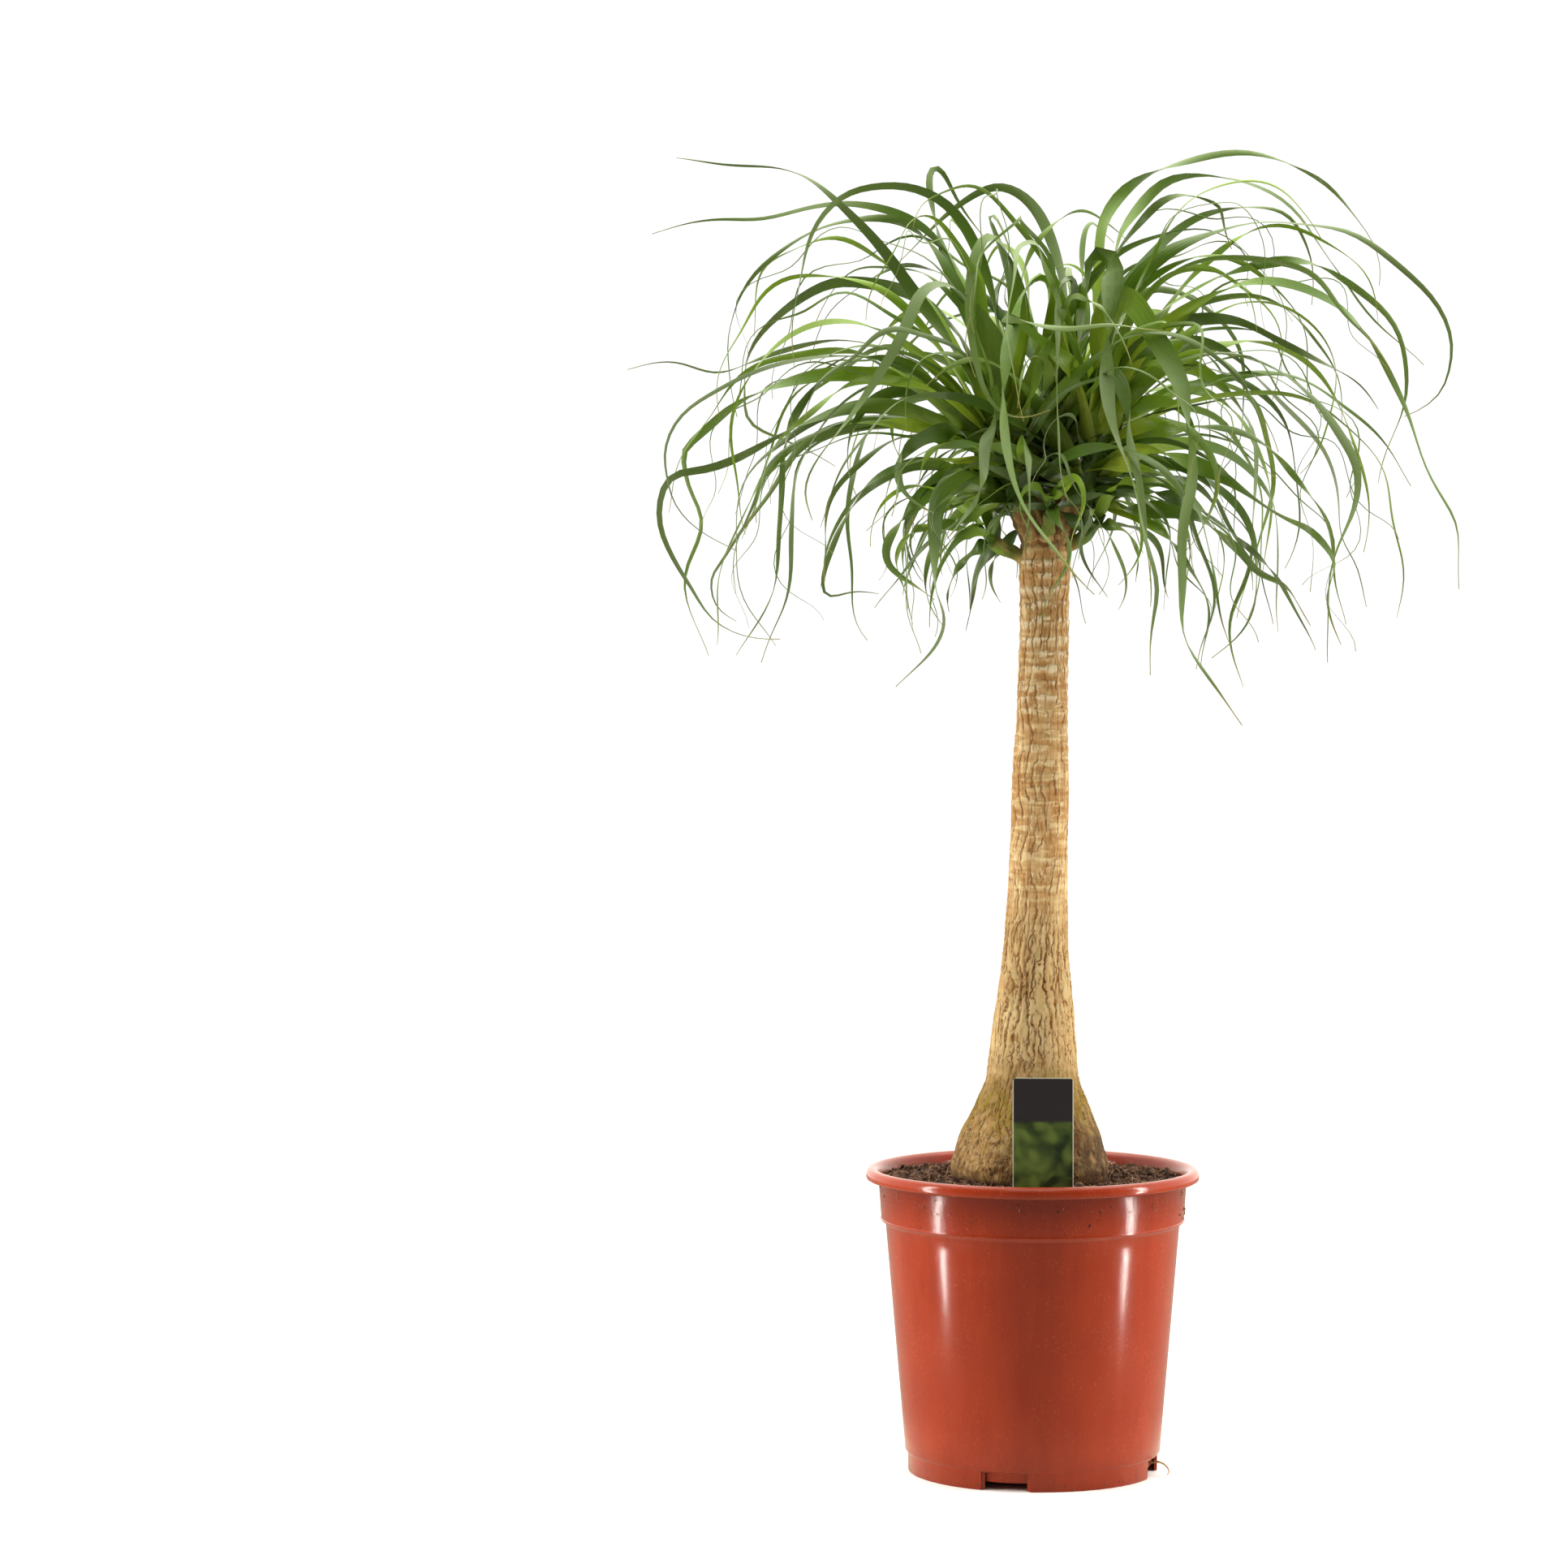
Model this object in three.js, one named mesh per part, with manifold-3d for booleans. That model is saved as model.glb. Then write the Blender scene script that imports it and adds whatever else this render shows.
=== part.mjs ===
// A potted ponytail palm: a plant with a swollen foot, a tapering trunk and heads of arching strap
// leaves, standing in the soil of a thin plastic pot, with a plant label pushed into the soil.
// Millimetres, +Z up, the viewer's side at -Y. Everything is laid out about the pot's own axis, and
// at the end the whole is moved so that the middle of its bounding box stands over the origin.

import * as THREE from 'three';
import { mergeVertices } from 'three/addons/utils/BufferGeometryUtils.js';
import Module from 'manifold-3d';

const wasm = await Module();
wasm.setup();

// ---- Driving dimensions ------------------------------------------------------------------------

const GAP = 0.3;                 // clearance between pieces that touch
const ROUND_SIDES = 40;          // sides of the pot and of the soil

const POT = {
  height: 245,
  rimRadius: 135,                // outer edge of the turned-down lip
  lipHeight: 9,
  collarTopRadius: 124.8,        // the upright collar under the lip
  collarFootRadius: 122.8,
  stepHeight: 203,               // where the wall steps in under the collar
  wallTopRadius: 119.1,
  wallFootRadius: 103.3,
  wall: 2,
  skirtRadius: 100.8,            // the foot skirt that the pot stands on
  skirtHeight: 15.5,
  plateRadius: 96.5,             // the raised base plate
  plateUnderside: 6,
  plateThickness: 2.5,
  ledgeHeight: 14,               // underside of the ledge that joins the plate to the wall
  notchWidth: 40,
  notchAngles: [-12.3, 77.7, 167.7, 257.7], // degrees from the front, towards +X
  drainRings: [{ radius: 64, count: 8, hole: 6 }, { radius: 30, count: 4, hole: 5 }],
};

const SOIL = { top: 235, lump: 2.6, trunkHollow: 3 };

const TRUNK = {
  sides: 26,
  // [radius, height] from the buried foot, over the swollen base, to the top
  profile: [
    [0, 197], [38, 197], [54, 205], [61, 220], [63.4, 235], [64, 248], [59.7, 263], [55.4, 276],
    [49, 289], [43, 303], [38.6, 316], [36, 336], [32.3, 369], [28.7, 402], [26, 435], [23.8, 501],
    [22.8, 567], [21.4, 602], [20.3, 650], [20, 710], [20.6, 738], [16.5, 760], [0, 768],
  ],
  // [height, x of the trunk's middle]: it leans a little to the right as it rises
  lean: [[197, -1.3], [270, -1.3], [336, 0.7], [402, 2], [534, 6.3], [686, 9.6], [800, 10.6]],
  lobes: 5,
  lobeDepth: 0.035,
};

const LABEL = {
  width: 48,
  thickness: 0.8,
  centreX: 8.5,
  y: -95,
  top: 327,
  shoulder: 236,                 // where the card narrows into its spike
  spikeTip: 176,
  spikeTipWidth: 9,
  cornerRadius: 3.5,
  tilt: 3,                       // degrees, the top leaning towards the trunk
};

const LEAF = {
  steps: 48,                     // steps along a leaf's centreline
  // the steps at which a solid blade has its corners: laid, main and low leaves
  laidStations: [0, 7, 14, 20, 27, 34, 41, 48],
  mainStations: [0, 9, 18, 28, 38, 48],
  lowStations: [0, 11, 23, 35, 48],
  keelAtRoot: 1.7,               // depth of the keel, which thickens the blade
  keelAtTip: 0.9,
  edge: 0.6,                     // how far the flat upper face stands off the centreline
  goldenAngle: 137.50776,        // turn from one leaf to the next, degrees
  trunkX: 8,                     // hanging leaves stay this far off the trunk
  trunkClear: 32,
  trunkTop: 775,
  coreSides: 6,
  fuseTolerance: 0.1,            // slivers thinner than this, left where blades cross, are merged
};

// Where the viewer's eye stands when the laid leaves are read: this far in front, at this height.
const EYE = { distance: 3750, height: 700 };

// Each head of leaves grows round an axis. Lengths, pulls and limits are ranges for seeded draws.
const MAIN = {
  length: [330, 500], width: [7.5, 11], open: 8, reach: [230, 330], pull: [1.5, 2.9],
  floor: [640, 800], ceiling: [965, 1045], frontGap: 26, stub: [13, 11],
  stations: LEAF.mainStations,
};
const LOW = {
  core: 26, radius: 10, length: [130, 245], width: [7.5, 10.5], spread: 88, open: 10,
  pull: [2.2, 3.6], ceiling: [880, 930], stub: [8, 7], stations: LEAF.lowStations,
};
const HEADS = {
  left: {
    ...MAIN, base: [-8, -4, 780], axis: [-0.4, -0.1, 1], from: 740, core: 78, radius: 17,
    count: 30, seed: 11, turn: 0.4, spread: 76,
  },
  right: {
    ...MAIN, base: [36, -2, 784], axis: [0.42, -0.08, 1], from: 742, core: 78, radius: 17,
    count: 30, seed: 23, turn: 1.9, spread: 76,
  },
  back: {
    ...MAIN, base: [14, 14, 790], axis: [0.04, 0.34, 1], from: 744, core: 70, radius: 16,
    count: 28, seed: 37, turn: 3.1, spread: 74,
  },
  lowLeft: {
    ...LOW, base: [-27, -10, 748], axis: [-0.9, -0.35, 0.95], from: 730, count: 11, seed: 41,
    turn: 0.9, floor: [635, 740], reach: [90, 170], frontGap: 10,
  },
  lowRight: {
    ...LOW, base: [42, -8, 756], axis: [0.9, -0.3, 1], from: 736, count: 10, seed: 53,
    turn: 2.2, floor: [650, 745], reach: [100, 180], frontGap: 10,
  },
  lowFront: {
    ...LOW, base: [14, -30, 770], axis: [0.1, -0.9, 1], from: 742, count: 8, seed: 67,
    turn: 0.2, floor: [665, 750], reach: [80, 140], frontGap: 0,
  },
  lowBack: {
    ...LOW, base: [-4, 27, 762], axis: [-0.15, 0.9, 1], from: 738, count: 8, seed: 71,
    turn: 1.2, floor: [640, 740], reach: [90, 170], frontGap: 0,
  },
};

// The leaves that give the crown its outline, each laid by hand: the head it grows from, how far
// back (+Y) its tip lies, its width, and the way it goes, as x and z from one bend to the next. The
// bends are given as the viewer sees them against the plane through the pot's axis.
const LAID_SEED = 5;
const LAID_LEAVES = [
  ['left', -70, 9, [-40, 870, -75, 925, -105, 970, -130, 1000, -160, 1035, -190, 1055, -230, 1060,
    -290, 1065]],
  ['left', 100, 8, [-35, 890, -50, 965, -80, 1005, -115, 1025, -150, 1030, -185, 1025, -220, 1015, -250, 1015,
    -285, 1015, -310, 1005]],
  ['left', -100, 8, [-20, 890, -35, 965, -55, 1020, -90, 1040, -120, 1045, -150, 1040, -170, 1020, -185, 995,
    -190, 960, -195, 925, -195, 895]],
  ['left', 155, 9, [-35, 880, -60, 930, -100, 960, -140, 965, -165, 965, -195, 950, -220, 925, -235, 900,
    -235, 880, -235, 850, -210, 840, -160, 815]],
  ['left', 70, 7, [-35, 900, -60, 965, -90, 1005, -115, 1020, -150, 1015, -185, 1005, -215, 985, -235, 960,
    -245, 935, -250, 915, -245, 885, -240, 855]],
  ['left', -185, 5, [-55, 860, -95, 895, -140, 905, -180, 905, -215, 895, -255, 880, -285, 860, -300, 830,
    -300, 810, -295, 785, -275, 765, -240, 745]],
  ['left', 240, 6, [-55, 870, -105, 910, -160, 920, -205, 910, -235, 895, -260, 890, -290, 900, -315, 900,
    -330, 895]],
  ['left', -120, 8, [-55, 840, -105, 865, -150, 865, -190, 850, -230, 825, -270, 810, -295, 810, -305, 785,
    -305, 760, -290, 735, -275, 715, -265, 690, -240, 675, -205, 675]],
  ['left', -170, 8, [-60, 850, -105, 890, -150, 875, -175, 840, -195, 810, -195, 780, -195, 750, -200, 705,
    -210, 680, -220, 655]],
  ['left', -50, 8, [-85, 890, -130, 910, -170, 895, -195, 855, -205, 815, -205, 775, -205, 740, -210, 715,
    -225, 685, -240, 660]],
  ['left', -35, 9, [-40, 810, -65, 815, -95, 820, -115, 810, -130, 800, -145, 785, -160, 760, -170, 730,
    -170, 710, -160, 710, -145, 715, -125, 710]],
  ['left', -85, 12, [-40, 835, -60, 845, -85, 840, -105, 830, -110, 810, -105, 795, -90, 780, -80, 775]],
  ['left', -155, 11, [-40, 800, -60, 805, -75, 790, -80, 770, -80, 740, -80, 715, -70, 695, -75, 675,
    -90, 655, -110, 635]],
  ['left', -15, 13, [-40, 810, -60, 810, -80, 800, -100, 780, -115, 760, -120, 740, -110, 725, -80, 705]],
  ['left', -170, 12, [-25, 885, -30, 855, -40, 830, -40, 800, -50, 775, -70, 755]],
  ['left', 85, 8, [-75, 855, -115, 850, -150, 850, -175, 840, -195, 825, -210, 800, -230, 770, -255, 735,
    -265, 725, -260, 700, -240, 690]],
  ['left', 15, 9, [-95, 885, -140, 890, -185, 890, -235, 870, -260, 850, -285, 830, -285, 820, -280, 795,
    -265, 770, -280, 740, -285, 715, -265, 660]],
  ['right', 205, 9, [55, 980, 55, 1015, 75, 1040, 100, 1055, 130, 1065, 180, 1070, 210, 1060, 235, 1045,
    255, 1025, 275, 1000, 280, 975, 280, 960]],
  ['right', 155, 8, [65, 980, 70, 1005, 85, 1025, 105, 1045, 130, 1050, 160, 1050, 195, 1035, 220, 1015,
    235, 990, 255, 955, 280, 930, 315, 895]],
  ['right', -35, 12, [55, 950, 65, 990, 85, 1010, 105, 1030, 125, 1035, 145, 1030, 155, 1025, 155, 1005,
    160, 990]],
  ['right', 100, 8, [60, 940, 80, 970, 105, 995, 130, 1015, 155, 1025, 180, 1025, 205, 1020, 220, 1000,
    230, 975, 225, 945]],
  ['right', -100, 9, [60, 925, 85, 970, 115, 995, 150, 1005, 190, 1015, 225, 1010, 255, 1005, 290, 985,
    320, 955, 340, 920, 340, 895, 330, 870, 300, 855]],
  ['right', 35, 9, [75, 915, 115, 950, 160, 975, 195, 980, 225, 980, 255, 965, 285, 940, 300, 915,
    305, 885, 300, 860, 285, 830, 280, 800]],
  ['right', -155, 9, [65, 920, 95, 960, 130, 980, 170, 985, 200, 980, 230, 970, 250, 940, 270, 920,
    290, 890]],
  ['right', -100, 10, [70, 890, 100, 925, 130, 935, 165, 935, 190, 920, 215, 910, 240, 895, 265, 880,
    280, 860]],
  ['right', -255, 14, [50, 920, 70, 960, 90, 940, 105, 910, 120, 885, 125, 855, 130, 810, 125, 780,
    120, 735, 120, 695, 125, 670, 145, 635, 170, 605]],
  ['back', -220, 15, [40, 920, 45, 965, 50, 985, 65, 985, 65, 950, 60, 905, 60, 875, 65, 845, 75, 815,
    85, 790, 100, 725, 100, 700, 95, 645]],
  ['back', -240, 13, [20, 915, 15, 955, 10, 970, -5, 960, -15, 935, -20, 910, -25, 870, -25, 840, -15, 805,
    0, 765, 25, 740, 50, 710]],
  ['back', -205, 7, [35, 925, 35, 960, 30, 970, 20, 955, 20, 915, 20, 865, 20, 820, 30, 785]],
  ['back', -170, 11, [50, 880, 60, 895, 70, 885, 80, 860, 80, 825, 85, 805, 95, 750, 95, 700]],
  ['right', -170, 8, [75, 900, 125, 945, 185, 970, 240, 955, 280, 910, 300, 865, 310, 835, 325, 800,
    335, 780, 345, 760, 345, 715]],
  ['right', -120, 11, [65, 815, 90, 830, 120, 820, 150, 810, 170, 795, 190, 780, 210, 770, 225, 765,
    240, 745, 245, 730, 235, 710, 250, 670]],
  ['right', -70, 11, [75, 775, 105, 780, 135, 775, 150, 760, 170, 745, 180, 725, 205, 720, 215, 705,
    225, 685]],
  ['right', 100, 9, [75, 880, 120, 905, 160, 875, 180, 845, 180, 815, 180, 775, 175, 725, 160, 695,
    160, 660, 170, 635]],
  ['right', -185, 10, [75, 875, 125, 910, 185, 905, 225, 875, 250, 840, 265, 815, 260, 780, 250, 755,
    235, 710, 240, 655]],
  ['right', 50, 10, [75, 890, 130, 925, 175, 895, 210, 855, 240, 825, 250, 790, 245, 755, 265, 735,
    270, 700]],
  ['left', 100, 11, [-35, 890, -60, 960, -80, 1005, -85, 1045, -80, 1060, -70, 1050, -60, 1030, -40, 1000]],
  ['back', 100, 12, [30, 935, 25, 975, 15, 1002, 0, 1028, -20, 1043, -38, 1042, -56, 1030, -80, 1010,
    -110, 980]],
  ['back', 135, 10, [45, 925, 40, 975, 40, 1010, 50, 1015, 55, 1005, 65, 995]],
  ['left', -100, 12, [-5, 915, -14, 965, -24, 998, -38, 1004, -48, 985, -52, 950, -50, 912, -42, 878,
    -26, 858, -4, 853, 15, 860]],
  ['left', -155, 12, [-20, 890, -40, 935, -65, 965, -90, 960, -100, 935, -115, 900, -145, 860, -170, 825,
    -190, 795, -180, 770]],
  ['left', -35, 12, [-10, 915, -20, 975, -31, 1008, -37, 1021, -28, 1018, -16, 990, -7, 960, -5, 925]],
  ['back', -270, 10, [45, 880, 20, 910, -15, 935, -30, 935, 5, 930, 40, 925, 75, 930, 105, 925]],
];

const FINISH = {
  pot: { color: 0xa8462d, roughness: 0.42 },
  soil: { color: 0x4a3426, roughness: 0.95 },
  trunk: { color: 0xa47d4e, roughness: 0.85 },
  leaf: { color: 0x4c7330, roughness: 0.5 },
  card: { color: 0x6f9a5a, roughness: 0.45 },
};

// ---- Small helpers -----------------------------------------------------------------------------

const radians = THREE.MathUtils.degToRad;
const clamp = THREE.MathUtils.clamp;
const UP = new THREE.Vector3(0, 0, 1);
const VIEW = new THREE.Vector3(0, 1, 0);

// A repeatable sequence of numbers between 0 and 1.
class Draw {
  constructor(seed) {
    this.state = seed;
  }

  next() {
    this.state = (this.state * 1664525 + 1013904223) % 4294967296;
    return this.state / 4294967296;
  }

  between([low, high]) {
    return low + (high - low) * this.next();
  }
}

// Straight-line reading of a table of [place, value] rows.
function readTable(rows, place) {
  const next = rows.findIndex(([at]) => at >= place);
  if (next <= 0) return next === 0 ? rows[0][1] : rows[rows.length - 1][1];
  const [[a, from], [b, to]] = [rows[next - 1], rows[next]];
  return from + ((to - from) * (place - a)) / (b - a);
}

function toSolid(geometry) {
  const bare = geometry.clone();
  bare.deleteAttribute('normal');
  bare.deleteAttribute('uv');
  const merged = mergeVertices(bare, 1e-4);
  const index = merged.index.array;
  const corners = [];
  for (let i = 0; i < index.length; i += 3) {
    const [a, b, c] = [index[i], index[i + 1], index[i + 2]];
    if (a !== b && b !== c && c !== a) corners.push(a, b, c);
  }
  const solid = new wasm.Manifold(new wasm.Mesh({
    numProp: 3,
    vertProperties: Float32Array.from(merged.attributes.position.array),
    triVerts: Uint32Array.from(corners),
  }));
  return solid;
}

function toMesh(name, solid, finish) {
  const { vertProperties, triVerts, numProp } = solid.getMesh();
  const geometry = new THREE.BufferGeometry();
  const count = vertProperties.length / numProp;
  const position = new Float32Array(count * 3);
  for (let i = 0; i < count; i += 1) {
    position.set(vertProperties.subarray(i * numProp, i * numProp + 3), i * 3);
  }
  geometry.setAttribute('position', new THREE.BufferAttribute(position, 3));
  geometry.setIndex(new THREE.BufferAttribute(Uint32Array.from(triVerts), 1));
  geometry.computeVertexNormals();
  const mesh = new THREE.Mesh(geometry, new THREE.MeshStandardMaterial({ metalness: 0, ...finish }));
  mesh.name = name;
  return mesh;
}

// A solid turned round the Z axis from a [radius, height] outline that starts and ends on it.
function turned(outline, sides) {
  const points = outline.map(([radius, height]) => new THREE.Vector2(radius, height));
  return new THREE.LatheGeometry(points, sides).rotateX(Math.PI / 2);
}

// A round bar between two points, with a radius at each end.
function bar(start, end, startRadius, endRadius, sides) {
  const along = end.clone().sub(start);
  const geometry = new THREE.CylinderGeometry(endRadius, startRadius, along.length(), sides);
  geometry.applyQuaternion(new THREE.Quaternion().setFromUnitVectors(VIEW, along.normalize()));
  const middle = start.clone().add(end).multiplyScalar(0.5);
  return geometry.translate(middle.x, middle.y, middle.z);
}

// ---- Pot ---------------------------------------------------------------------------------------

function potOutline() {
  const p = POT;
  const lipFoot = p.height - p.lipHeight;
  const inner = (radius) => radius - p.wall;
  const floor = p.plateUnderside + p.plateThickness;
  return [
    [0, p.plateUnderside], [p.plateRadius, p.plateUnderside], [p.plateRadius, p.ledgeHeight],
    [inner(p.skirtRadius), p.ledgeHeight], [inner(p.skirtRadius), 0], [p.skirtRadius, 0],
    [p.skirtRadius, p.skirtHeight], [p.wallFootRadius, p.skirtHeight + 1.5],
    [p.wallTopRadius, p.stepHeight - 3], [p.collarFootRadius, p.stepHeight + 1],
    [p.collarTopRadius, lipFoot - 2], [p.collarTopRadius + 0.6, lipFoot],
    [p.rimRadius - 1, lipFoot], [p.rimRadius, lipFoot + 1.2], [p.rimRadius - 0.4, p.height - 3],
    [p.rimRadius - 1.8, p.height - 0.6], [p.rimRadius - 4.4, p.height],
    [p.rimRadius - 7.6, p.height - 0.5], [inner(p.collarTopRadius) + 1.6, p.height - 3.4],
    [inner(p.collarTopRadius), lipFoot - 2], [inner(p.collarFootRadius), p.stepHeight + 2],
    [inner(p.wallTopRadius), p.stepHeight - 2], [inner(p.wallFootRadius), p.skirtHeight + 2.2],
    [inner(p.wallFootRadius) - 1.2, p.ledgeHeight + 2], [inner(p.plateRadius), p.ledgeHeight + 2],
    [inner(p.plateRadius), floor], [0, floor],
  ];
}

function notchCutter(angle) {
  const depth = 12;
  const cutter = new THREE.BoxGeometry(POT.notchWidth, depth, POT.ledgeHeight + 2);
  const reach = POT.plateRadius + 0.8 + depth / 2;
  cutter.translate(0, -reach, POT.ledgeHeight / 2);
  return toSolid(cutter.rotateZ(radians(angle)));
}

function drainCutters() {
  return POT.drainRings.flatMap(({ radius, count, hole }) => (
    Array.from({ length: count }, (_, k) => {
      const angle = (k * 2 * Math.PI) / count;
      const cutter = new THREE.CylinderGeometry(hole, hole, 12, 12).rotateX(Math.PI / 2);
      cutter.translate(radius * Math.cos(angle), radius * Math.sin(angle), POT.plateUnderside);
      return toSolid(cutter);
    })
  ));
}

function potSolid() {
  const cutters = [...POT.notchAngles.map(notchCutter), ...drainCutters()];
  return toSolid(turned(potOutline(), ROUND_SIDES)).subtract(wasm.Manifold.union(cutters));
}

// ---- Trunk -------------------------------------------------------------------------------------

// The turned outline gets shallow lobes and lumps, strongest at the swollen foot, and the lean.
function trunkSolid(extra) {
  const outline = TRUNK.profile.map(([radius, height], i) => {
    const grown = radius > 0 ? radius + extra : 0;
    return [grown, i < 2 ? height - extra : height];
  });
  const geometry = turned(outline, TRUNK.sides);
  const position = geometry.attributes.position;
  for (let i = 0; i < position.count; i += 1) {
    const [x, y, z] = [position.getX(i), position.getY(i), position.getZ(i)];
    const radius = Math.hypot(x, y);
    const angle = Math.atan2(y, x);
    const swell = clamp((radius - 22) / 40, 0.12, 1);
    const lobes = Math.sin(TRUNK.lobes * angle + z * 0.02) + 0.6 * Math.sin(3 * angle - z * 0.045 + 1);
    const lump = 1 + TRUNK.lobeDepth * swell * lobes;
    position.setXYZ(i, x * lump + readTable(TRUNK.lean, z), y * lump, z);
  }
  return toSolid(geometry);
}

// A branch stub from inside the trunk's top to just inside the foot of a head's core.
function stubSolid(head, extra) {
  const start = new THREE.Vector3(readTable(TRUNK.lean, head.from), 0, head.from);
  const axis = new THREE.Vector3(...head.axis).normalize();
  const end = new THREE.Vector3(...head.base).addScaledVector(axis, 6 + extra);
  return toSolid(bar(start, end, head.stub[0] + extra, head.stub[1] + extra, 10));
}

function wholeTrunk(extra) {
  const stubs = Object.values(HEADS).map((head) => stubSolid(head, extra));
  return wasm.Manifold.union([trunkSolid(extra), ...stubs]);
}

// ---- Leaves ------------------------------------------------------------------------------------

// The head's axis and two directions square to it.
function headFrame(head) {
  const axis = new THREE.Vector3(...head.axis).normalize();
  const right = VIEW.clone().cross(axis).normalize();
  return { axis, right, back: axis.clone().cross(right) };
}

// Steps along a leaf that starts at root in direction ahead, pulled down by its own weight, swayed
// sideways and curled. Returns points and, at each, the direction across the blade.
function growLeaf(root, ahead, leaf) {
  const point = root.clone();
  const heading = ahead.clone();
  const side = heading.clone().cross(UP).normalize();
  const points = [point.clone()];
  const headings = [heading.clone()];
  const sides = [side.clone()];
  for (let j = 0; j < LEAF.steps; j += 1) {
    const u = (j + 0.5) / LEAF.steps;
    const face = side.clone().cross(heading);
    const fall = heading.clone().multiplyScalar(heading.z).sub(UP);
    const sway = leaf.sway * 2 * u + 1.5 * u * Math.sin(leaf.wave + 7 * u);
    const turn = fall.multiplyScalar(leaf.pull * (leaf.flex + 1) * u ** leaf.flex);
    turn.addScaledVector(side, sway).addScaledVector(face, -leaf.curl * 3 * u * u);
    heading.addScaledVector(turn, 1 / LEAF.steps).normalize();
    side.addScaledVector(heading, -side.dot(heading)).normalize();
    point.addScaledVector(heading, leaf.length / LEAF.steps);
    const off = Math.hypot(point.x - LEAF.trunkX, point.y);
    if (point.z < LEAF.trunkTop && off < LEAF.trunkClear) {
      point.x = LEAF.trunkX + ((point.x - LEAF.trunkX) * LEAF.trunkClear) / off;
      point.y *= LEAF.trunkClear / off;
    }
    points.push(point.clone());
    headings.push(heading.clone());
    sides.push(side.clone());
  }
  const across = sides.map((level, i) => {
    const angle = leaf.roll + leaf.twist * (i / LEAF.steps) ** 1.4;
    const square = headings[i].clone().cross(level);
    return level.clone().multiplyScalar(Math.cos(angle)).addScaledVector(square, Math.sin(angle));
  });
  return { points, across };
}

// The k-th leaf of a head, from the outermost (k = 0) to the innermost. It is shortened where it
// would hang below its floor, rise over its ceiling or reach out too far.
function grownLeaf(head, k, draw) {
  const { axis, right, back } = headFrame(head);
  const rise = (k + 0.5) / head.count;
  const gap = radians(head.frontGap);
  const offFront = ((head.turn + k * radians(LEAF.goldenAngle)) % (2 * Math.PI)) - Math.PI;
  const kept = gap + (Math.abs(offFront) * (Math.PI - gap)) / Math.PI;
  const azimuth = (offFront < 0 ? -kept : kept) + draw.between([-0.2, 0.2]) - Math.PI / 2;
  const slant = head.spread * (1 - rise) ** 0.85 + head.open + draw.between([-8, 8]);
  const out = right.multiplyScalar(Math.cos(azimuth)).addScaledVector(back, Math.sin(azimuth));
  const ahead = axis.clone().multiplyScalar(Math.cos(radians(slant)));
  ahead.addScaledVector(out, Math.sin(radians(slant))).normalize();
  const root = new THREE.Vector3(...head.base);
  root.addScaledVector(axis, head.core * (0.05 + 0.85 * rise));
  root.addScaledVector(out, head.radius * (1 - 0.55 * rise) * 0.35);
  const swell = Math.sin(Math.PI * Math.min(1, rise * 0.75 + 0.28));
  const [short, long] = head.length;
  const leaf = { length: short + (long - short) * (0.55 * swell + 0.45 * draw.next()) };
  leaf.width = draw.between(head.width);
  leaf.pull = draw.between(head.pull) + 1.5 * rise;
  leaf.flex = draw.between([0.4, 1.1]);
  leaf.sway = draw.between([-0.9, 0.9]);
  leaf.curl = draw.between([-0.4, 0.6]) + (draw.next() < 0.22 ? 1.6 : 0);
  leaf.roll = draw.between([-0.5, 0.5]);
  leaf.twist = draw.between([0.5, 2.8]) * (draw.next() < 0.5 ? 1 : -1);
  const floor = draw.between(head.floor);
  const ceiling = draw.between(head.ceiling);
  const reach = draw.between(head.reach);
  leaf.wave = draw.between([0, 2 * Math.PI]);
  const free = growLeaf(root, ahead, leaf).points;
  const low = Math.min(...free.map((p) => p.z));
  const high = Math.max(...free.map((p) => p.z));
  const far = Math.max(...free.map((p) => Math.hypot(p.x - LEAF.trunkX, p.y)));
  const fit = Math.min(
    1,
    low < floor ? (root.z - floor) / (root.z - low) : 1,
    high > ceiling ? (ceiling - root.z) / (high - root.z) : 1,
    reach / far,
  );
  leaf.length *= Math.max(0.35, fit);
  return { ...growLeaf(root, ahead, leaf), width: leaf.width };
}

// A laid leaf follows a smooth B-spline through its bends, from a root on its head's core.
function laidLeaf([headName, depth, width, way], draw) {
  const head = HEADS[headName];
  const { axis } = headFrame(head);
  const base = new THREE.Vector3(...head.base);
  const first = new THREE.Vector3(way[0], 0, way[1]).sub(base).addScaledVector(axis, -head.core / 2);
  first.y = 0;
  const flatAxis = new THREE.Vector3(axis.x, 0, axis.z);
  const lift = clamp(0.9 - (0.75 * first.angleTo(flatAxis)) / (Math.PI / 2), 0.1, 0.9);
  const root = base.addScaledVector(axis, head.core * lift);
  const bends = [root];
  const count = way.length / 2;
  for (let i = 0; i < count; i += 1) {
    const y = root.y + (depth - root.y) * ((i + 1) / count) ** 0.8;
    const near = (EYE.distance + y) / EYE.distance;
    const z = EYE.height + (way[2 * i + 1] - EYE.height) * near;
    bends.push(new THREE.Vector3(way[2 * i] * near, y, z));
  }
  const points = evenly(splinePoints(bends), LEAF.steps);
  const swing = draw.between([0.35, 0.95]);
  const phase = draw.between([0, 2 * Math.PI]);
  const waves = draw.between([0.6, 1.3]);
  const across = points.map((point, i) => {
    const heading = headingAt(points, i);
    const open = heading.clone().cross(VIEW).normalize();
    const angle = swing * Math.sin(phase + (waves * 2 * Math.PI * i) / LEAF.steps);
    const square = heading.cross(open);
    return open.multiplyScalar(Math.cos(angle)).addScaledVector(square, Math.sin(angle));
  });
  return { points, across, width: width * 1.12 };
}

function headingAt(points, i) {
  const from = points[Math.max(0, i - 1)];
  const to = points[Math.min(points.length - 1, i + 1)];
  return to.clone().sub(from).normalize();
}

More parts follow.
